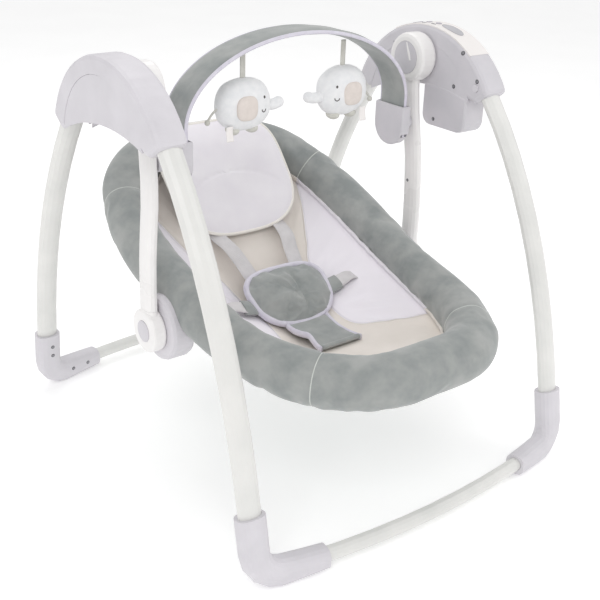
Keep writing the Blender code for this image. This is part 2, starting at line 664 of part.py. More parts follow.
def make_swing_arm(label, side):
    """Moulded arm: a round head on the drive shaft and an oval beam down to the recline hinge."""
    heights = [0.530 - (0.530 - ARM_SPLIT_Z) * k / 8 for k in range(9)]
    beam = loft("swing_arm_" + label, rings_along([arm_place(side, z) for z in heights], Vector((1, 0, 0)),
                ARM_HALF_WIDTH, ARM_HALF_DEPTH, 14, 2.3), WHITE)
    head = soften(disc("head", SWING_AXIS, HEAD_RADIUS, side * HEAD_IN_X, side * HEAD_OUT_X, WHITE), 0.006, 2, 60)
    combine(beam, [head], "UNION")
    cap_seat = disc("seat", SWING_AXIS, HEAD_CAP_RADIUS + GAP, side * (HEAD_IN_X - 0.01),
                    side * (HEAD_IN_X + 0.0028), DARK)
    bore = disc("bore", SWING_AXIS, SHAFT_RADIUS + GAP, side * (HEAD_IN_X + 0.0055), side * 0.26, DARK, count=20)
    place = arm_place(side, SOCKET_Z)
    pin_hole = disc("hole", (TOY_BAR_Y, SOCKET_Z), SOCKET_PIN_RADIUS + GAP, side * (place.x * side - 0.02),
                    side * (place.x * side - 0.001), DARK, count=14)
    combine(beam, [cap_seat, bore, pin_hole])
    disc("arm_head_cap_" + label, SWING_AXIS, HEAD_CAP_RADIUS, side * (HEAD_IN_X - 0.0004),
         side * (HEAD_IN_X + 0.0025), LILAC)
    disc("swing_shaft_" + label, SWING_AXIS, SHAFT_RADIUS, side * (HEAD_IN_X + 0.0058),
         side * (HUB_OUT_X - HUB_WALL - 0.0002), BRIGHT, count=20)


def make_arm_hinge(label, side):
    """Lower end of the arm: a short neck and a round lobe with a bore for the boss and the button."""
    low = arm_place(side, HINGE_Z).x * side
    heights = [ARM_SPLIT_Z - GAP, 0.243, HINGE_Z + LOBE_RADIUS * 0.4]
    neck = loft("arm_hinge_" + label, rings_along([arm_place(side, z) for z in heights], Vector((1, 0, 0)),
                ARM_HALF_WIDTH, [ARM_HALF_DEPTH, ARM_HALF_DEPTH + 0.001, ARM_HALF_DEPTH + 0.010], 16, 2.3), WHITE)
    lobe = disc("lobe", (HINGE_Y, HINGE_Z), LOBE_RADIUS, side * (low - LOBE_HALF), side * (low + LOBE_HALF), WHITE)
    soften(lobe, 0.003, 2, 60)
    combine(neck, [lobe], "UNION")
    boss_bore = disc("bore", (HINGE_Y, HINGE_Z), RECLINE_BOSS_RADIUS + GAP, side * (low - 0.02),
                     side * (low + 0.001), DARK)
    button_bore = disc("bore", (HINGE_Y, HINGE_Z), RECLINE_BUTTON_RADIUS + GAP, side * low, side * (low + 0.02), DARK)
    combine(neck, [boss_bore, button_bore])
    disc("recline_button_" + label, (HINGE_Y, HINGE_Z), RECLINE_BUTTON_RADIUS,
         side * (low + BUTTON_TRAVEL + GAP), side * (low + LOBE_HALF + 0.001), LILAC)


for label, sign in SIDES:
    make_swing_arm(label, sign)
    make_arm_hinge(label, sign)

LEVER_IN_X = HUB_IN_X + 0.0070
LEVER_OUT_X = KNUCKLE_IN_X - 0.0025
lever_way = (Vector(COIL_PLACE) - Vector(SWING_AXIS)).normalized()
lever_side = Vector((-lever_way.y, lever_way.x)) * 0.005
lever_end = Vector(COIL_PLACE)
web = [tuple(Vector(SWING_AXIS) + lever_side), tuple(Vector(SWING_AXIS) - lever_side),
       tuple(lever_end - lever_side), tuple(lever_end + lever_side)]
lever = prism("magnet_lever", web, LEVER_IN_X, LEVER_OUT_X, DARK)
lever_parts = [disc("hub", SWING_AXIS, 0.009, LEVER_IN_X - 0.0002, LEVER_OUT_X + 0.0002, DARK, count=20),
               disc("magnet", COIL_PLACE, 0.009, LEVER_IN_X + 0.0004, MAGNET_FACE_X, BRIGHT, count=20)]
combine(lever, lever_parts, "UNION")
combine(lever, [disc("bore", SWING_AXIS, SHAFT_RADIUS + GAP, 0.24, 0.27, DARK, count=20)])

# ---------------------------------------------------------------- toy bar, its sockets and the toys


def toy_bar_path():
    """Half-oval arch across the seat, with short straight ends that stand in the sockets."""
    span, rise = TOY_BAR_HALF_SPAN, TOY_BAR_RISE
    path = [Vector((-span, TOY_BAR_Y, z)) for z in (TOY_BAR_FOOT_Z, 0.462)]
    steps = 18
    for k in range(steps + 1):
        turn = math.pi * (1 - k / steps)
        path.append(Vector((span * math.cos(turn), TOY_BAR_Y, TOY_BAR_SPRING_Z + rise * math.sin(turn))))
    return path + [Vector((span, TOY_BAR_Y, z)) for z in (0.462, TOY_BAR_FOOT_Z)]


def socket_outline(half_width, top):
    """Side view of a socket: a round foot below straight sides."""
    low = arc((TOY_BAR_Y, SOCKET_Z), half_width, math.pi, 2 * math.pi, 12)
    return low + [(TOY_BAR_Y + half_width, top), (TOY_BAR_Y - half_width, top)]


def make_socket(label, side):
    """Plastic pocket that holds one end of the toy bar and turns on the arm."""
    room = TOY_BAR_HALF_THICK + GAP * 2
    low, high = TOY_BAR_HALF_SPAN - room - SOCKET_WALL, TOY_BAR_HALF_SPAN + room + SOCKET_WALL
    pocket = prism("toy_bar_socket_" + label, socket_outline(SOCKET_HALF_WIDTH, SOCKET_TOP_Z),
                   side * low, side * high, LILAC)
    soften(pocket, 0.0025, 2, 60)
    face = arm_place(side, SOCKET_Z).x * side - ARM_HALF_WIDTH
    boss = disc("boss", (TOY_BAR_Y, SOCKET_Z), 0.011, side * (high - 0.004), side * (face - GAP * 2), LILAC)
    pin = disc("pin", (TOY_BAR_Y, SOCKET_Z), SOCKET_PIN_RADIUS, side * (high - 0.004), side * (face + 0.006),
               LILAC, count=14)
    combine(pocket, [boss, pin], "UNION")
    half = TOY_BAR_HALF_WIDTH + GAP * 2
    space = block("space", (side * (low + SOCKET_WALL), TOY_BAR_Y - half, TOY_BAR_FOOT_Z - GAP),
                  (side * (high - SOCKET_WALL), TOY_BAR_Y + half, SOCKET_TOP_Z + 0.01), DARK)
    return combine(pocket, [space])


def bar_underside(x):
    """Height of the underside of the toy bar at a distance from its middle."""
    share = x / TOY_BAR_HALF_SPAN
    rise = math.sqrt(1 - share ** 2)
    slope = TOY_BAR_RISE / TOY_BAR_HALF_SPAN * share / rise
    return TOY_BAR_SPRING_Z + TOY_BAR_RISE * rise - TOY_BAR_HALF_THICK * math.sqrt(1 + slope ** 2) - 0.0014


def make_toy(label, side):
    """Plush elephant on a ribbon sewn to the underside of the toy bar."""
    under = bar_underside(TOY_X) - 0.0006
    centre = Vector((side * TOY_X, TOY_BAR_Y, TOY_TOP_Z - TOY_HALF[2]))
    rows, count = 9, 14
    path, wide, deep = [], [], []
    for k in range(rows + 1):
        turn = math.pi * (0.04 + 0.92 * k / rows)
        path.append(centre + Vector((0, 0, TOY_HALF[2] * math.cos(turn))))
        wide.append(TOY_HALF[0] * math.sin(turn))
        deep.append(TOY_HALF[1] * math.sin(turn))
    body = loft("toy_elephant_" + label, rings_along(path, Vector((1, 0, 0)), wide, deep, count), PLUSH)
    way = -side
    trunk = [centre + Vector((way * x, 0, z)) for x, z in
             ((0.026, -0.008), (0.048, -0.015), (0.063, -0.020), (0.076, -0.010))]
    nose = loft("trunk", rings_along(trunk, Vector((0, 1, 0)), [0.013, 0.011, 0.009, 0.007],
                [0.013, 0.011, 0.009, 0.007], 10), PLUSH)
    ribbon = block("ribbon", (side * TOY_X - 0.004, TOY_BAR_Y - 0.0008, TOY_TOP_Z - 0.012),
                   (side * TOY_X + 0.004, TOY_BAR_Y + 0.0008, under), PLUSH)
    return combine(body, [nose, ribbon], "UNION")


loft("toy_bar", rings_along(toy_bar_path(), Vector((0, 1, 0)), TOY_BAR_HALF_WIDTH, TOY_BAR_HALF_THICK, 12, 5.0),
     VELVET)
for label, sign in SIDES:
    make_socket(label, sign)
    make_toy(label, sign)

# ---------------------------------------------------------------- seat rim, bolster and hinge housings


def rim_point(turn):
    """Point on the centre line of the oval seat rim; turn zero is the middle of the head end."""
    c, s = math.cos(turn), math.sin(turn)
    along = math.copysign(abs(c) ** RIM_CORNER, c)
    across = math.copysign(abs(s) ** RIM_CORNER, s)
    return Vector((RIM_HALF_WIDTH * across * (1 + RIM_TAPER * along), RIM_CENTRE_Y + RIM_HALF_LENGTH * along,
                   RIM_HEIGHT + RIM_SLOPE * along + RIM_CURVE * along * along))


def even_steps(path, count):
    """Points at equal distances along a path, from its start to its end."""
    lengths = [0.0]
    for a, b in zip(path, path[1:]):
        lengths.append(lengths[-1] + (b - a).length)
    result, leg = [], 0
    for k in range(count + 1):
        wanted = lengths[-1] * k / count
        while leg < len(path) - 2 and lengths[leg + 1] < wanted:
            leg += 1
        share = (wanted - lengths[leg]) / (lengths[leg + 1] - lengths[leg])
        result.append(path[leg].lerp(path[leg + 1], share))
    return result


FINE_STEPS = 2880
fine_rim = [rim_point(2 * math.pi * k / FINE_STEPS) for k in range(FINE_STEPS)]
rim_path = even_steps(fine_rim + fine_rim[:1], RIM_STEPS)[:-1]


def rim_frames():
    """Inward and upward directions at each step of the rim."""
    frames = []
    for place, ahead in zip(rim_path, directions(rim_path, True)):
        up = (Vector((0, 0, 1)) - ahead * ahead.z).normalized()
        inward = up.cross(ahead)
        if inward.dot(Vector((0, RIM_CENTRE_Y, place.z)) - place) < 0:
            inward.negate()
        frames.append((inward, up))
    return frames


def bolster_radius(place):
    """The padded rim is a little thicker towards its two ends."""
    along = (place.y - RIM_CENTRE_Y) / RIM_HALF_LENGTH
    return BOLSTER_RADIUS + BOLSTER_SWELL * along * along


def slotted_ring(place, inward, up, outer, inner, slot_turn, slot_half):
    """Round section with a round channel that a narrow slot opens to the outside."""
    ring = []
    for radius, way in ((outer, 1), (inner, -1)):
        half = math.asin(slot_half / radius)
        steps = 14 if way > 0 else 8
        turns = [slot_turn + half + (2 * math.pi - 2 * half) * k / steps for k in range(steps + 1)]
        ring += [place + inward * (radius * math.cos(t)) + up * (radius * math.sin(t)) for t in turns[::way]]
    return ring


def make_bolster():
    """Foam ring in its cover, slotted underneath for the seat tube."""
    rings = [slotted_ring(place, inward, up, bolster_radius(place), CHANNEL_RADIUS,
                          math.radians(-66), 0.0018)
             for place, (inward, up) in zip(rim_path, rim_frames())]
    return loft("seat_bolster", rings, VELVET, closed=True)


def rim_cut(side, y):
    """Point of the rim at a distance along the seat, on one side."""
    for a, b in zip(rim_path, rim_path[1:] + rim_path[:1]):
        if a.x * side > 0 and b.x * side > 0 and min(a.y, b.y) <= y < max(a.y, b.y):
            return a.lerp(b, (y - a.y) / (b.y - a.y))


def tube_half(name, path):
    """One half of the seat tube: a hollow U that ends inside the two hinge housings."""
    sizes = (SEAT_TUBE_RADIUS, SEAT_TUBE_RADIUS - SEAT_TUBE_WALL)
    outer, inner = [rings_along(path, Vector((0, 0, 1)), size, size, 10) for size in sizes]
    return loft(name, outer, STEEL_WHITE, bore=inner)


HOUSING_OUT_X = ARM_LOW_X - LOBE_HALF - GAP


def make_housing(label, side, grow=0.0):
    """Hinge housing: a round shell beside the arm and a sleeve that grips the seat tube."""
    shell = disc("recline_housing_" + label, (HINGE_Y, HINGE_Z), RECLINE_DISC_RADIUS + grow,
                 side * (RIM_HALF_WIDTH + RECLINE_DISC_DEEP - grow), side * HOUSING_OUT_X, LILAC)
    if not grow:
        soften(shell, 0.006, 2, 60)
    ends = (HINGE_Y - 0.031 - grow, HINGE_Y + 0.047 + grow)
    run = [rim_cut(side, y) for y in (ends[0], HINGE_Y, ends[1])]
    radius = SEAT_TUBE_RADIUS + TUBE_SLEEVE + grow
    sleeve = loft("sleeve", rings_along(run, Vector((0, 0, 1)), radius, radius, 14), LILAC)
    combine(shell, [sleeve], "UNION")
    if grow:
        return shell
    boss_end = arm_place(side, HINGE_Z).x * side - 0.0008
    boss = disc("boss", (HINGE_Y, HINGE_Z), RECLINE_BOSS_RADIUS, side * (HOUSING_OUT_X - 0.003),
                side * boss_end, LILAC)
    combine(shell, [boss], "UNION")
    run = [rim_cut(side, y) for y in (ends[0] - 0.01, ends[0] + 0.01, HINGE_Y, ends[1] - 0.01, ends[1] + 0.01)]
    radius = SEAT_TUBE_RADIUS + GAP * 2
    hole = loft("hole", rings_along(run, Vector((0, 0, 1)), radius, radius, 10), DARK)
    return combine(shell, [hole])


TUBE_END_GAP = 0.001
half = RIM_STEPS // 2
for end, order, way in (("head", rim_path[half:] + rim_path[:half], 1), ("foot", rim_path, -1)):
    cut_y = HINGE_Y + way * TUBE_END_GAP
    between = [p for p in order if (p.y - cut_y) * way > 0.002]
    tube_half("seat_tube_" + end, [rim_cut(-way, cut_y)] + between + [rim_cut(way, cut_y)])
bolster = make_bolster()
for label, sign in SIDES:
    combine(bolster, [make_housing("room", sign, 0.0015)])
    make_housing(label, sign)

# ---------------------------------------------------------------- seat fabric, headrest and harness


def curve_height(points, y):
    """Height of a smooth curve through (y, z) points."""
    k = max(i for i in range(len(points) - 1) if i == 0 or points[i][0] <= y)
    slopes = []
    for i in (k, k + 1):
        a, b = points[max(i - 1, 0)], points[min(i + 1, len(points) - 1)]
        slopes.append((b[1] - a[1]) / (b[0] - a[0]))
    span = points[k + 1][0] - points[k][0]
    t = (y - points[k][0]) / span
    return (points[k][1] * (1 + 2 * t) * (1 - t) ** 2 + points[k + 1][1] * t * t * (3 - 2 * t)
            + span * (slopes[0] * t * (1 - t) ** 2 - slopes[1] * t * t * (1 - t)))


def make_seat_pad():
    """Bucket of padded fabric hung inside the rim."""
    turn = math.radians(-30)
    rim = []
    for place, (inward, up) in zip(rim_path, rim_frames()):
        reach = bolster_radius(place) + 0.0006
        rim.append(place + inward * (reach * math.cos(turn)) + up * (reach * math.sin(turn)))
    rows, count = 7, RIM_STEPS
    spine = [(RIM_CENTRE_Y + RIM_HALF_LENGTH * share, RIM_HEIGHT + rise) for share, rise in SPINE]
    middle = Vector((0, RIM_CENTRE_Y, curve_height(spine, RIM_CENTRE_Y)))
    top = [middle]
    for row in range(1, rows + 1):
        t = row / rows
        for edge in rim:
            y = RIM_CENTRE_Y + (edge.y - RIM_CENTRE_Y) * t
            climb = edge.z - curve_height(spine, edge.y)
            top.append(Vector((edge.x * t, y, curve_height(spine, y) + climb * t ** PAD_POWER)))
    points = top + [p - Vector((0, 0, PAD_THICK)) for p in top]
    low = len(top)
    faces = []
    for k in range(count):
        n = (k + 1) % count
        faces += [(0, 1 + k, 1 + n), (low, low + 1 + n, low + 1 + k)]
        for row in range(rows - 1):
            a, b = 1 + row * count, 1 + (row + 1) * count
            faces += [(a + k, b + k, b + n, a + n), (low + a + k, low + a + n, low + b + n, low + b + k)]
        edge = 1 + (rows - 1) * count
        faces.append((edge + k, low + edge + k, low + edge + n, edge + n))
    return solid("seat_pad", points, faces, COTTON)


def tree_of(piece):
    """Search tree of a piece's faces."""
    shape = bmesh.new()
    shape.from_mesh(piece.data)
    tree = BVHTree.FromBMesh(shape)
    shape.free()
    return tree


def rest(piece, others, way, gap=GAP * 1.5):
    """Slide the piece along a direction until it is a hair away from the others."""
    way = Vector(way).normalized()
    own, free = tree_of(piece), 1.0
    for other in others:
        tree = tree_of(other)
        hits = [tree.ray_cast(v.co, way)[3] for v in piece.data.vertices]
        hits += [own.ray_cast(v.co, -way)[3] for v in other.data.vertices]
        free = min([free] + [h for h in hits if h is not None])
    piece.data.transform(Matrix.Translation(way * (free - gap)))
    return piece


def pillow(name, middle, up, half_width, half_height, half_thick, material, bulge=0.0, rows=10):
    """Flat cushion with round corners; bulge carries its sides forwards."""
    up = Vector(up).normalized()
    face = Vector((1, 0, 0)).cross(up)
    path, wide, thick = [], [], []
    for k in range(rows + 1):
        t = math.sin(math.pi / 2 * (2 * k / rows - 1) * 0.94)
        path.append(Vector(middle) + up * (half_height * t))
        wide.append(half_width * (1 - abs(t) ** 4) ** 0.25)
        thick.append(half_thick * (1 - abs(t) ** 6) ** 0.5)
    rings = rings_along(path, Vector((1, 0, 0)), wide, thick, 16, 2.8)
    for ring in rings:
        for p in ring:
            p += face * (bulge * (p.x / half_width) ** 2)
    return loft(name, rings, material)


def make_strap(label, side, pad, belly):
    """Shoulder strap from a slot in the seat back to the underside of the belly pad."""
    lift = WEB_HALF_THICK + GAP
    slot = tree_of(pad).ray_cast(Vector((side * 0.055, 0.126, 0.6)), Vector((0, 0, -1)))[0]
    low = tree_of(belly).ray_cast(Vector((side * 0.040, 0.022, 0.1)), Vector((0, 0, 1)))[0]
    under = belly_up.cross(Vector((1, 0, 0))) * (lift + 0.0008)
    path = [slot + Vector((0, 0.004, lift + 0.0045)), slot + Vector((0, -0.008, lift + 0.0020)),
            Vector((side * 0.055, 0.098, slot.z - 0.010)), Vector((side * 0.050, 0.070, 0.2640)),
            Vector((side * 0.045, 0.052, 0.2480)), low + belly_up * 0.014 + under, low + under]
    return loft("shoulder_strap_" + label,
                rings_along(path, Vector((1, 0, 0)), WEB_HALF_WIDTH, WEB_HALF_THICK, 8, 6.0), WEBBING)


seat_pad = make_seat_pad()
crotch_path = [Vector((0, y, z)) for y, z in ((-0.137, 0.1985), (-0.120, 0.1970), (-0.098, 0.1950),
                                              (-0.076, 0.1950), (-0.058, 0.1985))]
crotch_pad = loft("crotch_pad", rings_along(crotch_path, Vector((1, 0, 0)), 0.0355, 0.0045, 12, 4.0), VELVET)
rest(crotch_pad, [seat_pad], (0, 0, -1))
belly_up = Vector((0, math.cos(math.radians(BELLY_TILT)), math.sin(math.radians(BELLY_TILT))))
belly_pad = pillow("belly_pad", BELLY_CENTRE, belly_up, BELLY_HALF_WIDTH, BELLY_HALF_HEIGHT, BELLY_HALF_THICK,
                   VELVET)
rest(belly_pad, [crotch_pad, seat_pad], -belly_up)
straps = [make_strap(label, sign, seat_pad, belly_pad) for label, sign in SIDES]
headrest_up = Vector((0, HEADREST_RUN[0], HEADREST_RUN[1]))
start = rim_point(0) + Vector((0, HEADREST_TOP[0] - 0.01, HEADREST_TOP[1] + 0.01)) - headrest_up / 2
headrest = pillow("headrest", start, headrest_up, HEADREST_HALF_WIDTH, headrest_up.length / 2,
                  HEADREST_HALF_THICK, COTTON, bulge=0.012)
rest(headrest, [bolster, seat_pad] + straps, headrest_up.cross(Vector((1, 0, 0))), GAP * 3)

# ---------------------------------------------------------------- joint axes


def turn_about(point, *names):
    """Put the origin of each named piece on its joint's axis."""
    point = Vector(point)
    for name in names:
        piece = bpy.data.objects[name]
        piece.data.transform(Matrix.Translation(-point))
        piece.location = point


turn_about((0, SWING_AXIS[0], SWING_AXIS[1]),
           *[stem + label for stem in ("rear_leg_", "rear_foot_", "rear_knuckle_", "swing_arm_", "swing_shaft_",
                                       "arm_head_cap_", "arm_hinge_") for label in ("left", "right")],
           "rear_crossbar", "magnet_lever")
turn_about((0, HINGE_Y, HINGE_Z), "recline_housing_left", "recline_housing_right", "seat_tube_head",
           "seat_tube_foot", "seat_bolster", "seat_pad", "crotch_pad", "belly_pad", "headrest",
           "shoulder_strap_left", "shoulder_strap_right")
turn_about((0, TOY_BAR_Y, SOCKET_Z), "toy_bar", "toy_bar_socket_left", "toy_bar_socket_right")
for label, sign in SIDES:
    turn_about((arm_place(sign, HINGE_Z).x, HINGE_Y, HINGE_Z), "recline_button_" + label)
    lock = lock_button_place()
    turn_about((sign * HUB_IN_X, lock.x, lock.y), "leg_lock_button_" + label)
    turn_about((sign * TOY_X, TOY_BAR_Y, bar_underside(TOY_X)), "toy_elephant_" + label)
for number, y in enumerate(KEY_ROW):
    turn_about(key_foot(y), "control_key_%d" % (number + 1))

# ---------------------------------------------------------------- middle of the object over the origin
ends = [piece.location.y + v.co.y for piece in bpy.data.objects for v in piece.data.vertices]
for piece in bpy.data.objects:
    piece.location.y -= (min(ends) + max(ends)) / 2
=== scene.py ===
"""Looks of a portable baby swing: a folding steel frame, a battery drive and a reclining padded seat."""
import json
import math

import bpy
from mathutils import Matrix, Vector, noise


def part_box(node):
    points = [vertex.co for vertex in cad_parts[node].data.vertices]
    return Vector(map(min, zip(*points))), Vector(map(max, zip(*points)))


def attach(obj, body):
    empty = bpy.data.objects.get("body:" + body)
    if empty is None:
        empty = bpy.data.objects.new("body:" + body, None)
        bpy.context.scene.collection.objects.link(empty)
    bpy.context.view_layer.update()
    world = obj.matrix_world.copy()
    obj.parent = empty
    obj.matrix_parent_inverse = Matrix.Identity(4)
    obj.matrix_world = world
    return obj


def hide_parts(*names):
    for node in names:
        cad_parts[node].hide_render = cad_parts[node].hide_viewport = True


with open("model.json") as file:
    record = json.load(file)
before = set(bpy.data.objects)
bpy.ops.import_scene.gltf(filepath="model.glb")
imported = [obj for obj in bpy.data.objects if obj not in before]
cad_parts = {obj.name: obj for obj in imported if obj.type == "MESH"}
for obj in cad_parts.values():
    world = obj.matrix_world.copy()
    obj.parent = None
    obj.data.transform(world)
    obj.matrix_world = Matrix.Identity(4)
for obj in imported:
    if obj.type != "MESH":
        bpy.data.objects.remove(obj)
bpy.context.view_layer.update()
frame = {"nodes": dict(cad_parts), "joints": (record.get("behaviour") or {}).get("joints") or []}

# ---------------------------------------------------------------- studio
# A plain pale floor under soft light from one wide panel overhead and two at the sides.
# The camera stands in front of the left side, a little above the seat, with a short telephoto lens.
bpy.context.scene.view_settings.view_transform = "Standard"
AXIS_Y = next(j["pos_m"][1] for j in frame["joints"] if j["name"] == "swing")
turn, climb, roll = math.radians(-37.885), math.radians(24.71), math.radians(2.0)
back = Vector((math.sin(turn) * math.cos(climb), -math.cos(turn) * math.cos(climb), math.sin(climb)))
right = Vector((math.cos(turn), math.sin(turn), 0))
up = back.cross(right)
camera_right = right * math.cos(roll) + up * math.sin(roll)
camera_up = up * math.cos(roll) - right * math.sin(roll)
bpy.ops.object.camera_add(location=(-0.808, AXIS_Y - 1.077, 0.817))
camera = bpy.context.object
camera.rotation_euler = Matrix((camera_right, camera_up, back)).transposed().to_euler()
camera.data.lens = 58.54
camera.data.sensor_width = 36.0
bpy.context.scene.camera = camera

world = bpy.data.worlds.new("studio")
bpy.context.scene.world = world
world.use_nodes = True
world.node_tree.nodes["Background"].inputs["Color"].default_value = (1.0, 1.0, 1.0, 1.0)
world.node_tree.nodes["Background"].inputs["Strength"].default_value = 0.72
for place, aim, size, power in (((-1.6, -1.6, 2.2), (0, 0, 0.3), 1.6, 18.0),
                                ((1.9, -1.2, 1.5), (0, 0, 0.3), 1.4, 8.0),
                                ((0.2, 1.2, 2.4), (0, 0, 0.4), 1.8, 13.0)):
    bpy.ops.object.light_add(type="AREA", location=place)
    lamp = bpy.context.object
    lamp.data.size = size
    lamp.data.energy = power
    lamp.rotation_euler = (Vector(aim) - Vector(place)).to_track_quat("-Z", "Y").to_euler()
bpy.ops.mesh.primitive_plane_add(size=14, location=(0, 0, 0))
floor = bpy.context.object
floor.name = "studio_floor"

# ---------------------------------------------------------------- steel legs and crossbars
# Oval and round steel tube, bent, then powder coated white. The coat is smooth with a faint orange peel,
# and it picks up a little grey where the light grazes it.


def linear(code):
    """An sRGB hex colour as the linear colour that a shader takes."""
    parts = [int(code[k:k + 2], 16) / 255 for k in (1, 3, 5)]
    return [c / 12.92 if c <= 0.04045 else ((c + 0.055) / 1.055) ** 2.4 for c in parts] + [1.0]


def add_node(tree, kind, inputs=(), **settings):
    """Add a shader node, give it its settings, and fill or link its inputs."""
    item = tree.nodes.new(kind)
    for key, value in settings.items():
        setattr(item, key, value)
    for key, value in dict(inputs).items():
        if isinstance(value, bpy.types.NodeSocket):
            tree.links.new(value, item.inputs[key])
        else:
            item.inputs[key].default_value = value
    return item


def new_finish(name, colours, patch_mm, grain_mm, grain_height_mm, roughness, **sockets):
    """A Principled material whose two colours mix in patches, with a fine relief on its surface."""
    material = bpy.data.materials.new(name)
    material.use_nodes = True
    tree = material.node_tree
    shader = tree.nodes["Principled BSDF"]
    for key, value in sockets.items():
        shader.inputs[key.replace("_", " ").title().replace("Ior", "IOR")].default_value = value
    where = add_node(tree, "ShaderNodeTexCoord")
    patches = add_node(tree, "ShaderNodeTexNoise", {"Vector": where.outputs["Object"],
                                                    "Scale": 1000 / patch_mm, "Detail": 3.0,
                                                    "Roughness": 0.55})
    spread = add_node(tree, "ShaderNodeMapRange", {"Value": patches.outputs["Fac"], "From Min": 0.32,
                                                   "From Max": 0.68})
    tone = add_node(tree, "ShaderNodeMix", {0: spread.outputs["Result"], 6: linear(colours[0]),
                                            7: linear(colours[1])}, data_type="RGBA")
    tree.links.new(tone.outputs[2], shader.inputs["Base Color"])
    grain = add_node(tree, "ShaderNodeTexNoise", {"Vector": where.outputs["Object"],
                                                  "Scale": 1000 / grain_mm, "Detail": 2.0})
    relief = add_node(tree, "ShaderNodeBump", {"Height": grain.outputs["Fac"], "Strength": 1.0,
                                               "Distance": grain_height_mm / 1000})
    tree.links.new(relief.outputs["Normal"], shader.inputs["Normal"])
    gloss = add_node(tree, "ShaderNodeMapRange", {"Value": patches.outputs["Fac"],
                                                  "To Min": roughness - 0.04,
                                                  "To Max": roughness + 0.05})
    tree.links.new(gloss.outputs["Result"], shader.inputs["Roughness"])
    return material


def dress(material, *nodes):
    """Give CAD nodes their finish."""
    for name in nodes:
        for slot in frame["nodes"][name].material_slots:
            slot.material = material


powder_coat = new_finish("white_powder_coat", ("#DDDDDA", "#E6E5E2"), 60, 1.6, 0.02, 0.36, coat_weight=0.15)
dress(powder_coat, "front_leg_left", "front_leg_right", "rear_leg_left", "rear_leg_right", "front_crossbar",
      "rear_crossbar", "seat_tube_head", "seat_tube_foot")

# ---------------------------------------------------------------- feet, hubs and hinge housings
# Injection-moulded ABS in a pale lilac grey with a fine spark-eroded texture, so its gloss is soft.
# The shells are moulded in one piece each and screwed through the tubes.
lilac_abs = new_finish("lilac_moulded_abs", ("#D1CED3", "#D9D6DB"), 45, 0.9, 0.018, 0.46)
hub_abs = new_finish("grey_lilac_moulded_abs", ("#CAC8CD", "#D2CFD4"), 45, 0.9, 0.018, 0.46)
dress(lilac_abs, "front_foot_left", "front_foot_right", "rear_foot_left", "rear_foot_right",
      "hub_arch_left", "hub_inner_cover_left", "hub_side_cover_left", "leg_lock_button_left",
      "leg_lock_button_right", "recline_housing_left", "recline_housing_right", "recline_button_left",
      "recline_button_right", "rear_knuckle_left", "rear_knuckle_right", "pivot_sleeve_left",
      "pivot_sleeve_right")
dress(hub_abs, "hub_arch_right", "hub_side_cover_right", "motor_housing", "battery_door",
      "toy_bar_socket_left", "toy_bar_socket_right", "arm_head_cap_left", "arm_head_cap_right")

# ---------------------------------------------------------------- swing arms
# Moulded in white ABS with a polished tool, glossier than the lilac shells.
white_abs = new_finish("white_polished_abs", ("#EDEBEA", "#F4F2F1"), 70, 2.5, 0.008, 0.28)
dress(white_abs, "swing_arm_left", "swing_arm_right", "arm_hinge_left", "arm_hinge_right")

# ---------------------------------------------------------------- drive parts inside the right hub
# Batteries in a plain film, a green circuit board, a copper coil and turned steel shafts.
panel_abs = new_finish("pale_panel_abs", ("#ECE8E6", "#F1EDEB"), 50, 0.8, 0.01, 0.38)
dress(panel_abs, "control_panel")
key_abs = new_finish("grey_key_abs", ("#BDBAC2", "#C6C3CA"), 20, 0.8, 0.012, 0.42)
dress(key_abs, "control_key_1", "control_key_2", "control_key_3")
turned_steel = new_finish("turned_steel", ("#B4B4B6", "#C6C6C8"), 8, 0.6, 0.006, 0.30, metallic=1.0)
dress(turned_steel, "swing_shaft_left", "swing_shaft_right")
paper = new_finish("white_backdrop_paper", ("#FAFAFA", "#FDFDFD"), 300, 3.0, 0.0, 0.9,
                   emission_strength=0.22)
floor.data.materials.append(paper)
copper = new_finish("enamelled_copper_wire", ("#A8643A", "#C2814F"), 6, 0.7, 0.10, 0.34, metallic=1.0)
dress(copper, "drive_coil")
solder_mask = new_finish("green_solder_mask", ("#245A3A", "#2E6A45"), 9, 1.2, 0.02, 0.35)
dress(solder_mask, "circuit_board")
# Dark ABS of the magnet lever; the same dark colour on the screw pockets is painted shade of their
# recesses.
dark_abs_and_pocket_shade = new_finish("dark_moulded_abs", ("#38383B", "#434347"), 20, 0.9, 0.015, 0.45)
dress(dark_abs_and_pocket_shade, "magnet_lever")
cell_film = new_finish("grey_cell_film", ("#44464C", "#50525A"), 14, 2.0, 0.006, 0.30)
dress(cell_film, "battery_1", "battery_2", "battery_3", "battery_4")

# ---------------------------------------------------------------- padded rim of the seat
# A foam ring round the seat tube in a sage-grey velvet cover of four panels. Its colour is painted darker
# and lighter in patches, as painted sheen and shade where the pile catches the light, and the cover puckers
# where the panels are sewn together.
# The velvet's two colours mix in patches: painted sheen and shade of the pile.
velvet = new_finish("sage_velvet", ("#8B908F", "#A5A7A5"), 34, 1.3, 0.22, 0.88, sheen_weight=0.35,
                    sheen_roughness=0.45)
RIM_MIDDLE = Vector((0, AXIS_Y - 0.0302, 0.2538))
RIM_HALF = Vector((0.1855, 0.2787, 0))


def signed_power(value, power):
    """A power that keeps the sign of its value."""
    return math.copysign(abs(value) ** power, value)


def circle(count):
    """Cosine and sine at equal steps round a circle."""
    turns = [2 * math.pi * n / count for n in range(count)]
    return [(math.cos(t), math.sin(t)) for t in turns]


def rim_point(angle):
    """Centre line of the rim; angle zero is the middle of the head end."""
    along, across = signed_power(math.cos(angle), 0.68), signed_power(math.sin(angle), 0.68)
    rise = 0.079 * along + 0.0437 * along * along
    return RIM_MIDDLE + Vector((RIM_HALF.x * across * (1 + 0.10 * along), RIM_HALF.y * along, rise))


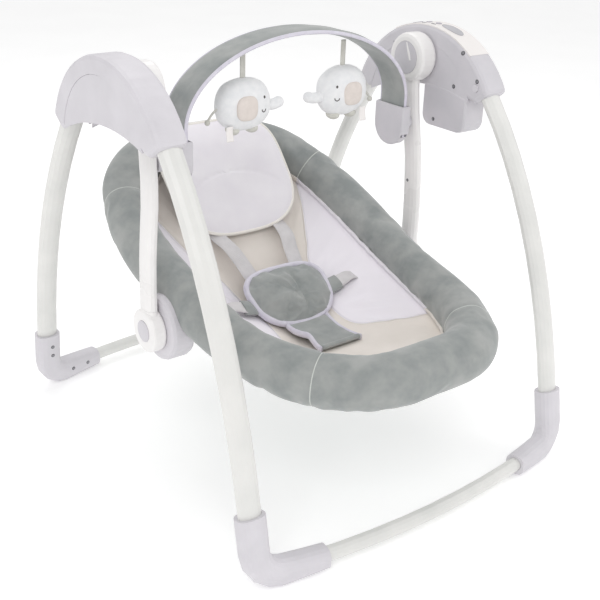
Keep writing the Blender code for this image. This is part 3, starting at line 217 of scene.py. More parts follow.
def even_points(path, count, closed=False):
    """Points at equal steps along a path."""
    path = list(path) + ([path[0]] if closed else [])
    reach = [0.0]
    for a, b in zip(path, path[1:]):
        reach.append(reach[-1] + (b - a).length)
    result, leg = [], 0
    for k in range(count if closed else count + 1):
        wanted = reach[-1] * k / count
        while leg < len(path) - 2 and reach[leg + 1] < wanted:
            leg += 1
        result.append(path[leg].lerp(path[leg + 1], (wanted - reach[leg]) / (reach[leg + 1] - reach[leg])))
    return result


def rim_frames(count):
    """Place, inward and upward directions at equal steps round the rim."""
    line = even_points([rim_point(2 * math.pi * k / 2880) for k in range(2880)], count, closed=True)
    frames = []
    for k, place in enumerate(line):
        ahead = (line[(k + 1) % count] - line[k - 1]).normalized()
        rise = (Vector((0, 0, 1)) - ahead * ahead.z).normalized()
        inward = rise.cross(ahead)
        if inward.dot(RIM_MIDDLE - place) < 0:
            inward.negate()
        frames.append((place, inward, rise))
    return frames


def skin_mesh(name, rows, closed_rows=True, closed_ring=True, material=None):
    """A mesh over rows of points, shaded smooth."""
    count, total = len(rows[0]), len(rows)
    faces = []
    for row in range(total if closed_rows else total - 1):
        a, b = row * count, (row + 1) % total * count
        for k in range(count if closed_ring else count - 1):
            n = (k + 1) % count
            faces.append((a + k, a + n, b + n, b + k))
    mesh = bpy.data.meshes.new(name)
    mesh.from_pydata([p for row in rows for p in row], [], faces)
    piece = bpy.data.objects.new(name, mesh)
    bpy.context.scene.collection.objects.link(piece)
    if material:
        mesh.materials.append(material)
    bpy.ops.object.select_all(action="DESELECT")
    piece.select_set(True)
    bpy.context.view_layer.objects.active = piece
    bpy.ops.object.mode_set(mode="EDIT")
    bpy.ops.mesh.select_all(action="SELECT")
    bpy.ops.mesh.remove_doubles(threshold=0.00001)
    bpy.ops.mesh.normals_make_consistent(inside=False)
    bpy.ops.object.mode_set(mode="OBJECT")
    bpy.ops.object.shade_smooth()
    return piece


def puff(piece, pinned, cap, pressure=4.0, spare=0.03, frames=20):
    """Swell a cover with a cloth simulation: pinned points stay, and no point moves past the cap."""
    start = [v.co.copy() for v in piece.data.vertices]
    group = piece.vertex_groups.new(name="sewn")
    group.add(pinned, 1.0, "REPLACE")
    cloth = piece.modifiers.new("cover", "CLOTH")
    setup = cloth.settings
    setup.quality = 6
    setup.mass = 0.15
    setup.tension_stiffness = setup.compression_stiffness = 12
    setup.bending_stiffness = 0.4
    setup.shrink_min = -spare
    setup.vertex_group_mass = "sewn"
    setup.use_pressure = True
    setup.uniform_pressure_force = pressure
    setup.effector_weights.gravity = 0
    for k in range(1, frames + 1):
        bpy.context.scene.frame_set(k)
    bpy.context.view_layer.objects.active = piece
    bpy.ops.object.modifier_apply(modifier=cloth.name)
    bpy.context.scene.frame_set(1)
    for v, old in zip(piece.data.vertices, start):
        move = v.co - old
        if move.length > cap:
            v.co = old + move * (cap / move.length)
    piece.vertex_groups.clear()


def finish_with(piece, kind, **settings):
    """Add a modifier with its settings and apply it."""
    step = piece.modifiers.new(kind.lower(), kind)
    for key, value in settings.items():
        setattr(step, key, value)
    bpy.context.view_layer.objects.active = piece
    bpy.ops.object.modifier_apply(modifier=step.name)
    bpy.ops.object.select_all(action="DESELECT")
    piece.select_set(True)
    bpy.ops.object.shade_smooth()
    return piece


RIM_STEPS, ROUND_STEPS = 256, 36
SEAM_STEPS = (33, 104, 152, 223)   # where round the rim its four panels meet
HELD_LINES = (33, 27)              # rows of the cover that are sewn down to the bucket and the lining
STITCH_STEPS = 60
frames_round = rim_frames(RIM_STEPS)
rows, pinned = [], []
for k, (place, inward, rise) in enumerate(frames_round):
    along = (place.y - RIM_MIDDLE.y) / RIM_HALF.y
    radius = 0.0325 + 0.0045 * along * along
    near = min(min(abs(k - s), RIM_STEPS - abs(k - s)) for s in SEAM_STEPS) * 0.0060
    row = []
    for n in range(ROUND_STEPS):
        angle = 2 * math.pi * n / ROUND_STEPS
        lean = inward * math.cos(angle) + rise * math.sin(angle)
        lump = noise.noise(place * 13 + lean * 0.8) * 0.0009
        crease = noise.noise(Vector((k * 0.16, angle * 2.2, 3.0))) * 0.0018 * math.exp(-near / 0.03)
        seam = -0.0016 * math.exp(-(near / 0.005) ** 2)
        row.append(place + lean * (radius + lump + crease + seam))
        if near < 0.001 or n in HELD_LINES:
            pinned.append(k * ROUND_STEPS + n)
    rows.append(row)
rim_cover = skin_mesh("rim_cover", rows, material=velvet)
puff(rim_cover, pinned, 0.0025, pressure=3.0, spare=0.02)
finish_with(rim_cover, "SUBSURF", levels=1, render_levels=1)
stitching = new_finish("pale_stitching", ("#C6C9C5", "#D0D3CF"), 8, 0.5, 0.05, 0.8)
for number, step in enumerate(SEAM_STEPS):
    middle, inward, rise = frames_round[step]
    ways_out = [inward * c + rise * s for c, s in circle(STITCH_STEPS)]
    stitch = [rim_cover.ray_cast(middle + out * 0.08, -out)[1] for out in ways_out]
    rings = []
    for n, place in enumerate(stitch):
        out = (place - middle).normalized()
        ahead = (stitch[(n + 1) % STITCH_STEPS] - stitch[n - 1]).normalized()
        rings.append([place + out * (0.0006 * s) + out.cross(ahead) * (0.0008 * c) for c, s in circle(8)])
    seam_line = skin_mesh("rim_seam_%d" % (number + 1), rings, material=stitching)
    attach(seam_line, "seat")
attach(rim_cover, "seat")
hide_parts("seat_bolster")

# ---------------------------------------------------------------- bucket of the seat
# Quilted cotton hung inside the rim: a beige middle panel with a white panel sewn to each side, and a plain
# grey lining underneath. Its upper edge is gathered over the inside of the rim.
SPINE = ((-0.914, -0.0518), (-0.609, -0.0638), (-0.376, -0.0778), (-0.161, -0.0848),
         (0.055, -0.0728), (0.288, -0.0278), (0.575, 0.0362), (0.898, 0.1022))
MIDDLE_PANEL = ((-0.24, 0.180), (-0.19, 0.150), (-0.15, 0.118), (-0.125, 0.090), (-0.06, 0.058),
                (0.037, 0.076), (0.073, 0.096), (0.14, 0.130), (0.20, 0.150))


def curve_height(points, y):
    """Height of a smooth curve through (y, z) points."""
    k = max(i for i in range(len(points) - 1) if i == 0 or points[i][0] <= y)
    slopes = []
    for i in (k, k + 1):
        a, b = points[max(i - 1, 0)], points[min(i + 1, len(points) - 1)]
        slopes.append((b[1] - a[1]) / (b[0] - a[0]))
    span = points[k + 1][0] - points[k][0]
    t = (y - points[k][0]) / span
    return (points[k][1] * (1 + 2 * t) * (1 - t) ** 2 + points[k + 1][1] * t * t * (3 - 2 * t)
            + span * (slopes[0] * t * (1 - t) ** 2 - slopes[1] * t * t * (1 - t)))


spine = [(RIM_MIDDLE.y + RIM_HALF.y * share, RIM_MIDDLE.z + rise) for share, rise in SPINE]


def bucket_point(edge, t):
    """Top of the bucket between its middle (t = 0) and an edge point (t = 1)."""
    y = RIM_MIDDLE.y + (edge.y - RIM_MIDDLE.y) * t
    rise = (edge.z - curve_height(spine, edge.y)) * t ** 1.5
    return Vector((edge.x * t, y, curve_height(spine, y) + rise))


def rim_radius(place):
    """Radius of the stuffed rim at a place on it; both ends are a little thicker."""
    return 0.0340 + 0.0045 * ((place.y - RIM_MIDDLE.y) / RIM_HALF.y) ** 2


bucket_frames = rim_frames(288)
edges = []
for place, inward, rise in bucket_frames:
    reach, lean = rim_radius(place) - 0.0005, math.radians(-30)
    edges.append(place + inward * (reach * math.cos(lean)) + rise * (reach * math.sin(lean)))
rows = []
BUCKET_ROWS = 44
FOLD_HEIGHT = 0.0105      # the white side panels hang in soft folds
for row in range(BUCKET_ROWS + 1):
    t = row / BUCKET_ROWS
    ring = []
    for k, edge in enumerate(edges):
        p = bucket_point(edge, t)
        white = min(max((abs(p.x) - 0.075) / 0.03, 0), 1)
        broad = noise.noise(Vector((k * 0.14 - t * 3, t * 1.6, 1.0)))
        narrow = noise.noise(Vector((k * 0.34 - t * 5, t * 2.2, 5.0)))
        fold = (broad + 0.5 * narrow) * FOLD_HEIGHT * white * t * (1 - t) * 3.2
        soft = noise.noise(p * 14) * 0.0016 * min(t * 3, 1) * (1 - t ** 6)
        ring.append(p + Vector((0, 0, fold + soft)))
    rows.append(ring)
for lean in (-27, -24, -20, -16):
    ring = []
    a = math.radians(lean)
    for k, (place, inward, rise) in enumerate(bucket_frames):
        pleat = math.sin(k * 1.31 + 2.0 * noise.noise(Vector((k * 0.08, 0, 9))))
        gather = 0.0008 * (1 + pleat) * (lean + 30) / 14
        reach = rim_radius(place) + 0.0006 + gather
        drop = 0.0010 * math.sin(k * 0.9) * (lean > -18)
        ring.append(place + inward * (reach * math.cos(a)) + rise * (reach * math.sin(a) + drop))
    rows.append(ring)

cotton = new_finish("beige_cotton", ("#E3DCD4", "#EBE4DD"), 60, 1.1, 0.05, 0.85, sheen_weight=0.15)
tree = cotton.node_tree
shader = tree.nodes["Principled BSDF"]
tone = shader.inputs["Base Color"].links[0].from_node
where = add_node(tree, "ShaderNodeTexCoord")
split = add_node(tree, "ShaderNodeSeparateXYZ", {"Vector": where.outputs["Object"]})
PANEL_REACH, PANEL_WIDEST = 0.30, 0.20      # what the ends of the width curve stand for
share = add_node(tree, "ShaderNodeMapRange", {"Value": split.outputs["Y"],
                                              "From Min": AXIS_Y - PANEL_REACH,
                                              "From Max": AXIS_Y + PANEL_REACH})
width = add_node(tree, "ShaderNodeFloatCurve", {"Value": share.outputs["Result"]})
line = width.mapping.curves[0]
line.points[0].location = (0.0, 0.9)
line.points[1].location = (1.0, 0.9)
for y, half in MIDDLE_PANEL:
    line.points.new((y + PANEL_REACH) / (2 * PANEL_REACH), half / PANEL_WIDEST)
width.mapping.update()
half = add_node(tree, "ShaderNodeMath", {0: width.outputs["Value"], 1: PANEL_WIDEST}, operation="MULTIPLY")
across = add_node(tree, "ShaderNodeMath", {0: split.outputs["X"]}, operation="ABSOLUTE")
beyond = add_node(tree, "ShaderNodeMath", {0: across.outputs[0], 1: half.outputs[0]}, operation="SUBTRACT")
is_white = add_node(tree, "ShaderNodeMapRange", {"Value": beyond.outputs[0], "From Min": -0.0004,
                                                 "From Max": 0.0004})
panels = add_node(tree, "ShaderNodeMix", {0: is_white.outputs["Result"], 6: tone.outputs[2],
                                          7: linear("#F1EDF3")}, data_type="RGBA")
tree.links.new(panels.outputs[2], shader.inputs["Base Color"])
away = add_node(tree, "ShaderNodeMath", {0: beyond.outputs[0]}, operation="ABSOLUTE")
groove = add_node(tree, "ShaderNodeMapRange", {"Value": away.outputs[0], "From Max": 0.0035},
                  interpolation_type="SMOOTHSTEP")
weave = shader.inputs["Normal"].links[0].from_node
seam = add_node(tree, "ShaderNodeBump", {"Height": groove.outputs["Result"], "Distance": 0.0016,
                                         "Normal": weave.outputs["Normal"]})
tree.links.new(seam.outputs["Normal"], shader.inputs["Normal"])

lining = new_finish("grey_lining", ("#A9AEAB", "#B9BDBA"), 60, 1.2, 0.08, 0.9)
bucket = skin_mesh("seat_bucket", rows, closed_rows=False, material=cotton)
if min(bucket.data.polygons, key=lambda f: (f.center.xy - RIM_MIDDLE.xy).length).normal.z < 0:
    bucket.data.flip_normals()
bucket.data.materials.append(lining)
finish_with(bucket, "SOLIDIFY", thickness=0.004, offset=-1.0, material_offset=1,
            material_offset_rim=0)
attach(bucket, "seat")
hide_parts("seat_pad")

# ---------------------------------------------------------------- headrest
# A flat rounded pillow of white cotton jersey with a cream piping round its edge and a stitched arc inside.
# It lies against the back of the seat, and its two sides bend forward a little.


def box_middle(node):
    """Middle of a CAD node's box."""
    low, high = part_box(node)
    return (Vector(low) + Vector(high)) / 2


def pillow_rows(middle, side, rise, outline, front, back, steps, rings, relief):
    """Rows of points over the front and the back of a pillow; relief adds to its front."""
    face = side.cross(rise).normalized()
    rows = []
    for sheet, thick in ((1, front), (-1, back)):
        order = range(rings + 1) if sheet == 1 else range(rings - 1, -1, -1)
        for ring in order:
            t = math.sin(math.pi / 2 * ring / rings)
            row = []
            for k in range(steps):
                a, b = outline(2 * math.pi * k / steps)
                crown = (1 - t ** 3) ** 0.6 if t < 1 else 0.0
                lift = relief(a * t, b * t) * (1 - t ** 4) if sheet == 1 else 0.0
                flat = middle + side * (a * t) + rise * (b * t)
                row.append(flat + face * (sheet * thick * crown + lift))
            rows.append(row)
    return rows


def edge_loop(middle, side, rise, outline, steps, grow=0.0):
    """Points round the edge of a pillow, moved out by grow."""
    loop = []
    for k in range(steps):
        a, b = outline(2 * math.pi * k / steps)
        reach = math.hypot(a, b)
        loop.append(middle + side * (a * (1 + grow / reach)) + rise * (b * (1 + grow / reach)))
    return loop


def tube_rows(path, half_a, half_b, side, closed=False, count=10):
    """Rings of a round or flat cord along a path; half_a lies along the side direction."""
    last = len(path) - 1
    rows = []
    for k, place in enumerate(path):
        if closed:
            ahead = path[(k + 1) % len(path)] - path[k - 1]
        else:
            ahead = path[min(k + 1, last)] - path[max(k - 1, 0)]
        ahead.normalize()
        across = (side - ahead * side.dot(ahead)).normalized()
        other = ahead.cross(across)
        rows.append([place + across * (half_a * c) + other * (half_b * s) for c, s in circle(count)])
    return rows


def superoval(half_a, half_b, power_up, power_down, flare):
    """Outline function of a rounded rectangle; its lower half may be rounder, flare widens its top."""
    def outline(angle):
        power = power_up if math.sin(angle) > 0 else power_down
        a = half_a * signed_power(math.cos(angle), 2 / power)
        b = half_b * signed_power(math.sin(angle), 2 / power)
        return a * (1 + flare * b / half_b), b
    return outline


SIDE = Vector((1, 0, 0))
jersey = new_finish("white_jersey", ("#EFEBF1", "#F5F2F6"), 50, 0.9, 0.05, 0.85, sheen_weight=0.15)
piping_cream = new_finish("cream_piping", ("#EFEBE4", "#F5F1EB"), 30, 0.8, 0.05, 0.75)
head_rise = Vector((0, 0.134, 0.144)).normalized()
head_middle = box_middle("headrest")
head_face = SIDE.cross(head_rise)
head_middle -= head_face * 0.003
HEAD_BEND, HEAD_HALF = 0.010, 0.110      # how far the pillow's two sides bend forward, and how far out
head_outline = superoval(0.109, 0.097, 3.6, 3.0, 0.03)


def head_relief(a, b):
    """Height of the headrest's front: raised sides, soft lumps and a stitched arc."""
    bend = 0.012 * (a / HEAD_HALF) ** 2
    arc_line = abs(math.hypot(a, (b + 0.075) * 1.25) - 0.098)
    lumps = noise.noise(Vector((a * 22, b * 22, 2))) * 0.0018
    return bend + lumps - 0.0016 * math.exp(-(arc_line / 0.0022) ** 2)


rows = pillow_rows(head_middle, SIDE, head_rise, head_outline, front=0.0085, back=0.006, steps=128,
                   rings=26, relief=head_relief)
headrest = skin_mesh("headrest_pillow", rows, closed_rows=False, material=jersey)
for v in headrest.data.vertices:
    v.co += head_face * (HEAD_BEND * (v.co.x / HEAD_HALF) ** 2)
finish_with(headrest, "SUBSURF", levels=1, render_levels=1)
loop = edge_loop(head_middle, SIDE, head_rise, head_outline, 160)
loop = [p + head_face * (HEAD_BEND * (p.x / HEAD_HALF) ** 2) for p in loop]
head_piping = skin_mesh("headrest_piping", tube_rows(loop, 0.0026, 0.0026, head_face, closed=True),
                        material=piping_cream)
for piece in (headrest, head_piping):
    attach(piece, "seat")
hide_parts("headrest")

# ---------------------------------------------------------------- belly pad and crotch pad
# Two small velvet pads of the harness, edged with a satin tape in pale lilac. A curved seam runs down the
# middle of the belly pad, and the crotch pad has a turned hem at its front.
satin_tape = new_finish("lilac_satin_tape", ("#CFCBD8", "#DAD7E1"), 12, 0.7, 0.05, 0.55, sheen_weight=0.2)
belly_rise = Vector((0, math.cos(math.radians(37)), math.sin(math.radians(37))))
belly_middle = box_middle("belly_pad")
belly_face = SIDE.cross(belly_rise)
belly_outline = superoval(0.0695, 0.0495, 3.1, 2.4, 0.08)


def closed_skin(name, rows, material):
    """A solid piece over rows of points, closed at its first and last row."""
    piece = skin_mesh(name, rows, closed_rows=False, material=material)
    bpy.ops.object.mode_set(mode="EDIT")
    bpy.ops.mesh.select_mode(type="EDGE")
    bpy.ops.mesh.select_all(action="DESELECT")
    bpy.ops.mesh.select_non_manifold()
    bpy.ops.mesh.edge_face_add()
    bpy.ops.mesh.select_all(action="SELECT")
    bpy.ops.mesh.normals_make_consistent(inside=False)
    bpy.ops.mesh.select_mode(type="VERT")
    bpy.ops.object.mode_set(mode="OBJECT")
    return piece


def seam_distance(a, b):
    """How far a place on the belly pad is from the curved seam down its middle."""
    return abs(a - 0.004 - 0.010 * math.cos(b * 32))


def belly_relief(a, b):
    """Height of the belly pad's front: the seam, pulls at its top and soft lumps."""
    seam_line = seam_distance(a, b) / 0.0036
    pull = 0.0030 * math.sin(a * 260 + b * 60) * max(b / 0.05, 0) ** 2
    return -0.0052 * math.exp(-seam_line ** 2) + pull + noise.noise(Vector((a * 45, b * 38, 7))) * 0.0040


rows = pillow_rows(belly_middle, SIDE, belly_rise, belly_outline, front=0.0150, back=0.0075, steps=112,
                   rings=26, relief=belly_relief)
belly = skin_mesh("belly_pad_cover", rows, closed_rows=False, material=velvet)
from_middle = [v.co - belly_middle for v in belly.data.vertices]
sewn = [k for k, d in enumerate(from_middle) if seam_distance(d.x, d.dot(belly_rise)) < 0.0012]
sewn += [k for k, d in enumerate(from_middle) if abs(d.dot(belly_face)) < 0.0004]
puff(belly, sewn, 0.0035, pressure=2.5, spare=0.05, frames=14)
finish_with(belly, "SUBSURF", levels=1, render_levels=1)
belly_edge = edge_loop(belly_middle, SIDE, belly_rise, belly_outline, 128, grow=-0.0015)
belly_tape = skin_mesh("belly_pad_tape", tube_rows(belly_edge, 0.0056, 0.0044, belly_face, closed=True,
                                                   count=12), material=satin_tape)

low, high = [Vector(c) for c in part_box("crotch_pad")]
CROTCH_STEPS, CROTCH_ROUND = 24, 36
crotch_shares = [k / CROTCH_STEPS for k in range(CROTCH_STEPS + 1)]
crotch_line = [Vector((0, low.y + (high.y - low.y) * t, low.z + 0.0062 + 0.0035 * abs(2 * t - 1) ** 2.2))
               for t in crotch_shares]
rows = []
for t, place in zip(crotch_shares, crotch_line):
    half = 0.0365 - 0.004 * math.sin(math.pi * t)
    end = 1 - abs(2 * t - 1) ** 8
    rows.append([])
    for c, s in circle(CROTCH_ROUND):
        x = half * signed_power(c, 0.5)
        arch = 0.0075 * math.exp(-((t - 0.42) / 0.22) ** 2) * max(-x / half, 0)
        lift = arch + (0.0062 if s > 0 else 0.0032) * signed_power(s, 0.7) * (0.45 + 0.55 * end)
        dent = noise.noise(Vector((x * 60, t * 4, 4))) * 0.0014 * (s > 0)
        rows[-1].append(place + Vector((x, 0, lift + dent + 0.004 * (x / half) ** 2 * (t - 0.3))))
crotch = closed_skin("crotch_pad_cover", rows, velvet)
tapes = []
for label, edge in (("left", CROTCH_ROUND // 2), ("right", 0)):
    path = [row[edge] + Vector((0, 0, 0.0006)) for row in rows]
    tapes.append(closed_skin("crotch_tape_" + label, tube_rows(path, 0.0030, 0.0048, SIDE), satin_tape))
hem_path = [crotch_line[0] + Vector((-0.034 + 0.068 * k / 20, 0.0012, 0.0010)) for k in range(21)]
hem = closed_skin("crotch_pad_hem", tube_rows(hem_path, 0.0036, 0.0044, Vector((0, 0, 1))), velvet)
for piece in [belly, belly_tape, crotch, hem] + tapes:
    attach(piece, "seat")
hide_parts("belly_pad")
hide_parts("crotch_pad")

# ---------------------------------------------------------------- harness webbing
# Flat grey polyester webbing, woven with ribs along its length. Two shoulder straps come out of the back
# of the seat, and two waist straps, half sleeved in velvet, run from its sides to the belly pad.
webbing = new_finish("grey_webbing", ("#CFCCCD", "#DAD7D8"), 18, 0.8, 0.06, 0.7, sheen_weight=0.15)
tree = webbing.node_tree
shader = tree.nodes["Principled BSDF"]
ways = add_node(tree, "ShaderNodeUVMap", uv_map="along")
ribs = add_node(tree, "ShaderNodeTexWave", {"Vector": ways.outputs["UV"], "Scale": 0.314,
                                            "Distortion": 0.0}, bands_direction="X")
grain = shader.inputs["Normal"].links[0].from_node
weave = add_node(tree, "ShaderNodeBump", {"Height": ribs.outputs["Fac"], "Distance": 0.0003,
                                          "Normal": grain.outputs["Normal"]})
tree.links.new(weave.outputs["Normal"], shader.inputs["Normal"])


def smooth_path(points, steps=8):
    """A denser path through a few points, with soft bends."""
    path = []
    for k in range(len(points) - 1):
        a, b = points[max(k - 1, 0)], points[k]
        c, d = points[k + 1], points[min(k + 2, len(points) - 1)]
        for n in range(steps):
            t = n / steps
            path.append(0.5 * ((2 * b) + (c - a) * t + (2 * a - 5 * b + 4 * c - d) * t * t
                               + (3 * b - a - 3 * c + d) * t ** 3))
    return path + [points[-1].copy()]


WEBBING_SECTION = ((-1, 0.3), (-0.96, 1), (-0.5, 1), (0, 1), (0.5, 1), (0.96, 1), (1, 0.3),
                   (1, -0.3), (0.96, -1), (0.5, -1), (0, -1), (-0.5, -1), (-0.96, -1), (-1, -0.3))
WEBBING_HALF_THICK = 0.0009
RIB_WIDTH = 0.0022


def make_webbing(name, points, sides, half_width):
    """A flat strap through points; each point has its own crosswise direction."""
    path = smooth_path([Vector(p) for p in points])
    leans = smooth_path([Vector(s) for s in sides])
    rows = []
    for k, place in enumerate(path):
        ahead = (path[min(k + 1, len(path) - 1)] - path[max(k - 1, 0)]).normalized()
        across = (leans[k] - ahead * leans[k].dot(ahead)).normalized()
        other = ahead.cross(across)
        rows.append([place + across * (half_width * a) + other * (WEBBING_HALF_THICK * b)
                     for a, b in WEBBING_SECTION])
    piece = closed_skin(name, rows, webbing)
    layer = piece.data.uv_layers.new(name="along")
    for polygon in piece.data.polygons:
        for corner in polygon.loop_indices:
            v = piece.data.vertices[piece.data.loops[corner].vertex_index].co
            k = min(range(len(path)), key=lambda i: (path[i] - v).length_squared)
            across = leans[k].normalized()
            layer.data[corner].uv = ((v - path[k]).dot(across) / RIB_WIDTH, k * 0.3)
    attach(piece, "seat")
    return piece


def on_bucket(x, y):
    """Point on the top of the bucket, found straight above or below."""
    hit = bucket.ray_cast(Vector((x, y, 0.7)), Vector((0, 0, -1)))
    return hit[1]


for label, way in (("left", -1), ("right", 1)):
    slot = on_bucket(way * 0.055, AXIS_Y + 0.122)
    top = belly_middle + SIDE * (way * 0.040) + belly_rise * 0.030 - belly_face * 0.0095
    points = [slot + Vector((0, 0.004, -0.0010)), slot + Vector((0, -0.004, 0.004)),
              Vector((way * 0.057, AXIS_Y + 0.098, slot.z - 0.006)),
              Vector((way * 0.053, AXIS_Y + 0.070, 0.2700)),
              Vector((way * 0.047, AXIS_Y + 0.050, 0.2540)), top]
    sides = [SIDE, SIDE, SIDE + Vector((0, 0, -0.1 * way)), SIDE, SIDE, SIDE]
    strap = make_webbing("shoulder_webbing_" + label, points, sides, 0.0125)
    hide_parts("shoulder_strap_" + label)
    start = on_bucket(way * 0.118, AXIS_Y - 0.020)
    end = belly_middle + SIDE * (way * 0.058) - belly_rise * 0.004 - belly_face * 0.005
    points = [start + Vector((way * 0.004, 0, -0.0006)), start + Vector((-way * 0.010, 0, 0.003)),
              (start + end) / 2 + Vector((0, -0.002, 0.0035)), end]
    sides = [Vector((0, 1, 0.2)), Vector((0, 1, 0.2)), Vector((0, 1, 0.5)), belly_rise]
    make_webbing("waist_webbing_" + label, points, sides, 0.0110)
    sleeve_path = smooth_path([end.lerp(start, t) + Vector((0, -0.001, 0.0042 * t))
                               for t in (0.0, 0.2, 0.4, 0.52)])
    sleeve_rows = tube_rows(sleeve_path, 0.0135, 0.0046, Vector((0, 1, 0.55)), count=24)
    sleeve = closed_skin("waist_sleeve_" + label, sleeve_rows, velvet)
    finish_with(sleeve, "BEVEL", width=0.002, segments=3)
    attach(sleeve, "seat")

# ---------------------------------------------------------------- toy bar
# A flat arch of padded velvet over a sprung strip, with a pale lilac piping sewn along both edges. Its ends
# stand in the two plastic sockets.
low, high = [Vector(c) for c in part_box("toy_bar")]
bar_y = (low.y + high.y) / 2
bar_half = (high.y - low.y) / 2
bar_thick = 0.0055
BAR_SPRING_Z, BAR_STEPS = 0.490, 120      # where the legs of the bar turn into its arch, and its steps
bar_span = high.x - bar_thick
bar_rise = high.z - bar_thick - BAR_SPRING_Z
bar_path = [Vector((-bar_span, bar_y, low.z + (BAR_SPRING_Z - low.z) * t)) for t in (0, 0.4, 0.8)]
for k in range(BAR_STEPS + 1):
    turn = math.pi * (1 - k / BAR_STEPS)
    bar_path.append(Vector((bar_span * math.cos(turn), bar_y, BAR_SPRING_Z + bar_rise * math.sin(turn))))
bar_path += [Vector((bar_span, bar_y, low.z + (BAR_SPRING_Z - low.z) * t)) for t in (0.8, 0.4, 0)]
UP_Y = Vector((0, 1, 0))


rows = []
for k, place in enumerate(bar_path):
    ahead = (bar_path[min(k + 1, len(bar_path) - 1)] - bar_path[max(k - 1, 0)]).normalized()
    out = UP_Y.cross(ahead)
    row = []
    for c, s in circle(40):
        y = (bar_half - 0.002) * signed_power(c, 0.55)
        wrinkle = noise.noise(Vector((k * 0.16, y * 40, 3 + (s > 0)))) * 0.0009
        crown = (bar_thick - 0.0009) * signed_power(s, 0.75)
        row.append(place + UP_Y * y + out * (crown + wrinkle * abs(s)))
    rows.append(row)
bar_cover = closed_skin("toy_bar_cover", rows, velvet)
bar_pipings = []
for label, way in (("front", -1), ("back", 1)):
    path = [p + UP_Y * (way * (bar_half - 0.0016)) for p in bar_path]
    bar_pipings.append(closed_skin("toy_bar_piping_" + label, tube_rows(path, 0.0018, 0.0026, UP_Y),
                                   satin_tape))
for piece in [bar_cover] + bar_pipings:
    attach(piece, "toy_bar")
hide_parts("toy_bar")

# ---------------------------------------------------------------- plush elephants
# Two small stuffed elephants of short white plush with beige cotton ears, grey feet, an embroidered eye and
# smile and a knotted cord tail. Each hangs from the bar by a sewn ribbon and carries a blank satin tag.
plush = new_finish("white_plush", ("#E6E7E9", "#EFEFF0"), 9, 0.5, 0.12, 0.95, sheen_weight=0.4)
ear_cotton = new_finish("beige_ear_cotton", ("#DAD1CB", "#E2D9D3"), 8, 0.5, 0.05, 0.9)
ribbon_grey = new_finish("grey_ribbon", ("#C9C8C0", "#D3D2CB"), 10, 0.5, 0.04, 0.7)
thread = new_finish("dark_thread", ("#4E4B4A", "#5C5856"), 3, 0.3, 0.05, 0.7)
satin = new_finish("white_satin", ("#EDE8E6", "#F6F2F0"), 15, 0.4, 0.02, 0.35, sheen_weight=0.3)


def ball(name, middle, half, material, power=1.0, segments=48):
    """A rounded stuffed shape from a sphere, set in place in its mesh."""
    bpy.ops.object.select_all(action="DESELECT")
    bpy.ops.mesh.primitive_uv_sphere_add(segments=segments, ring_count=segments // 2, radius=1)
    piece = bpy.context.active_object
    piece.name = name
    for v in piece.data.vertices:
        unit = Vector([signed_power(c, power) for c in v.co])
        v.co = middle + Vector([unit[i] * half[i] for i in range(3)])
    piece.data.materials.append(material)
    bpy.ops.object.shade_smooth()
    return piece


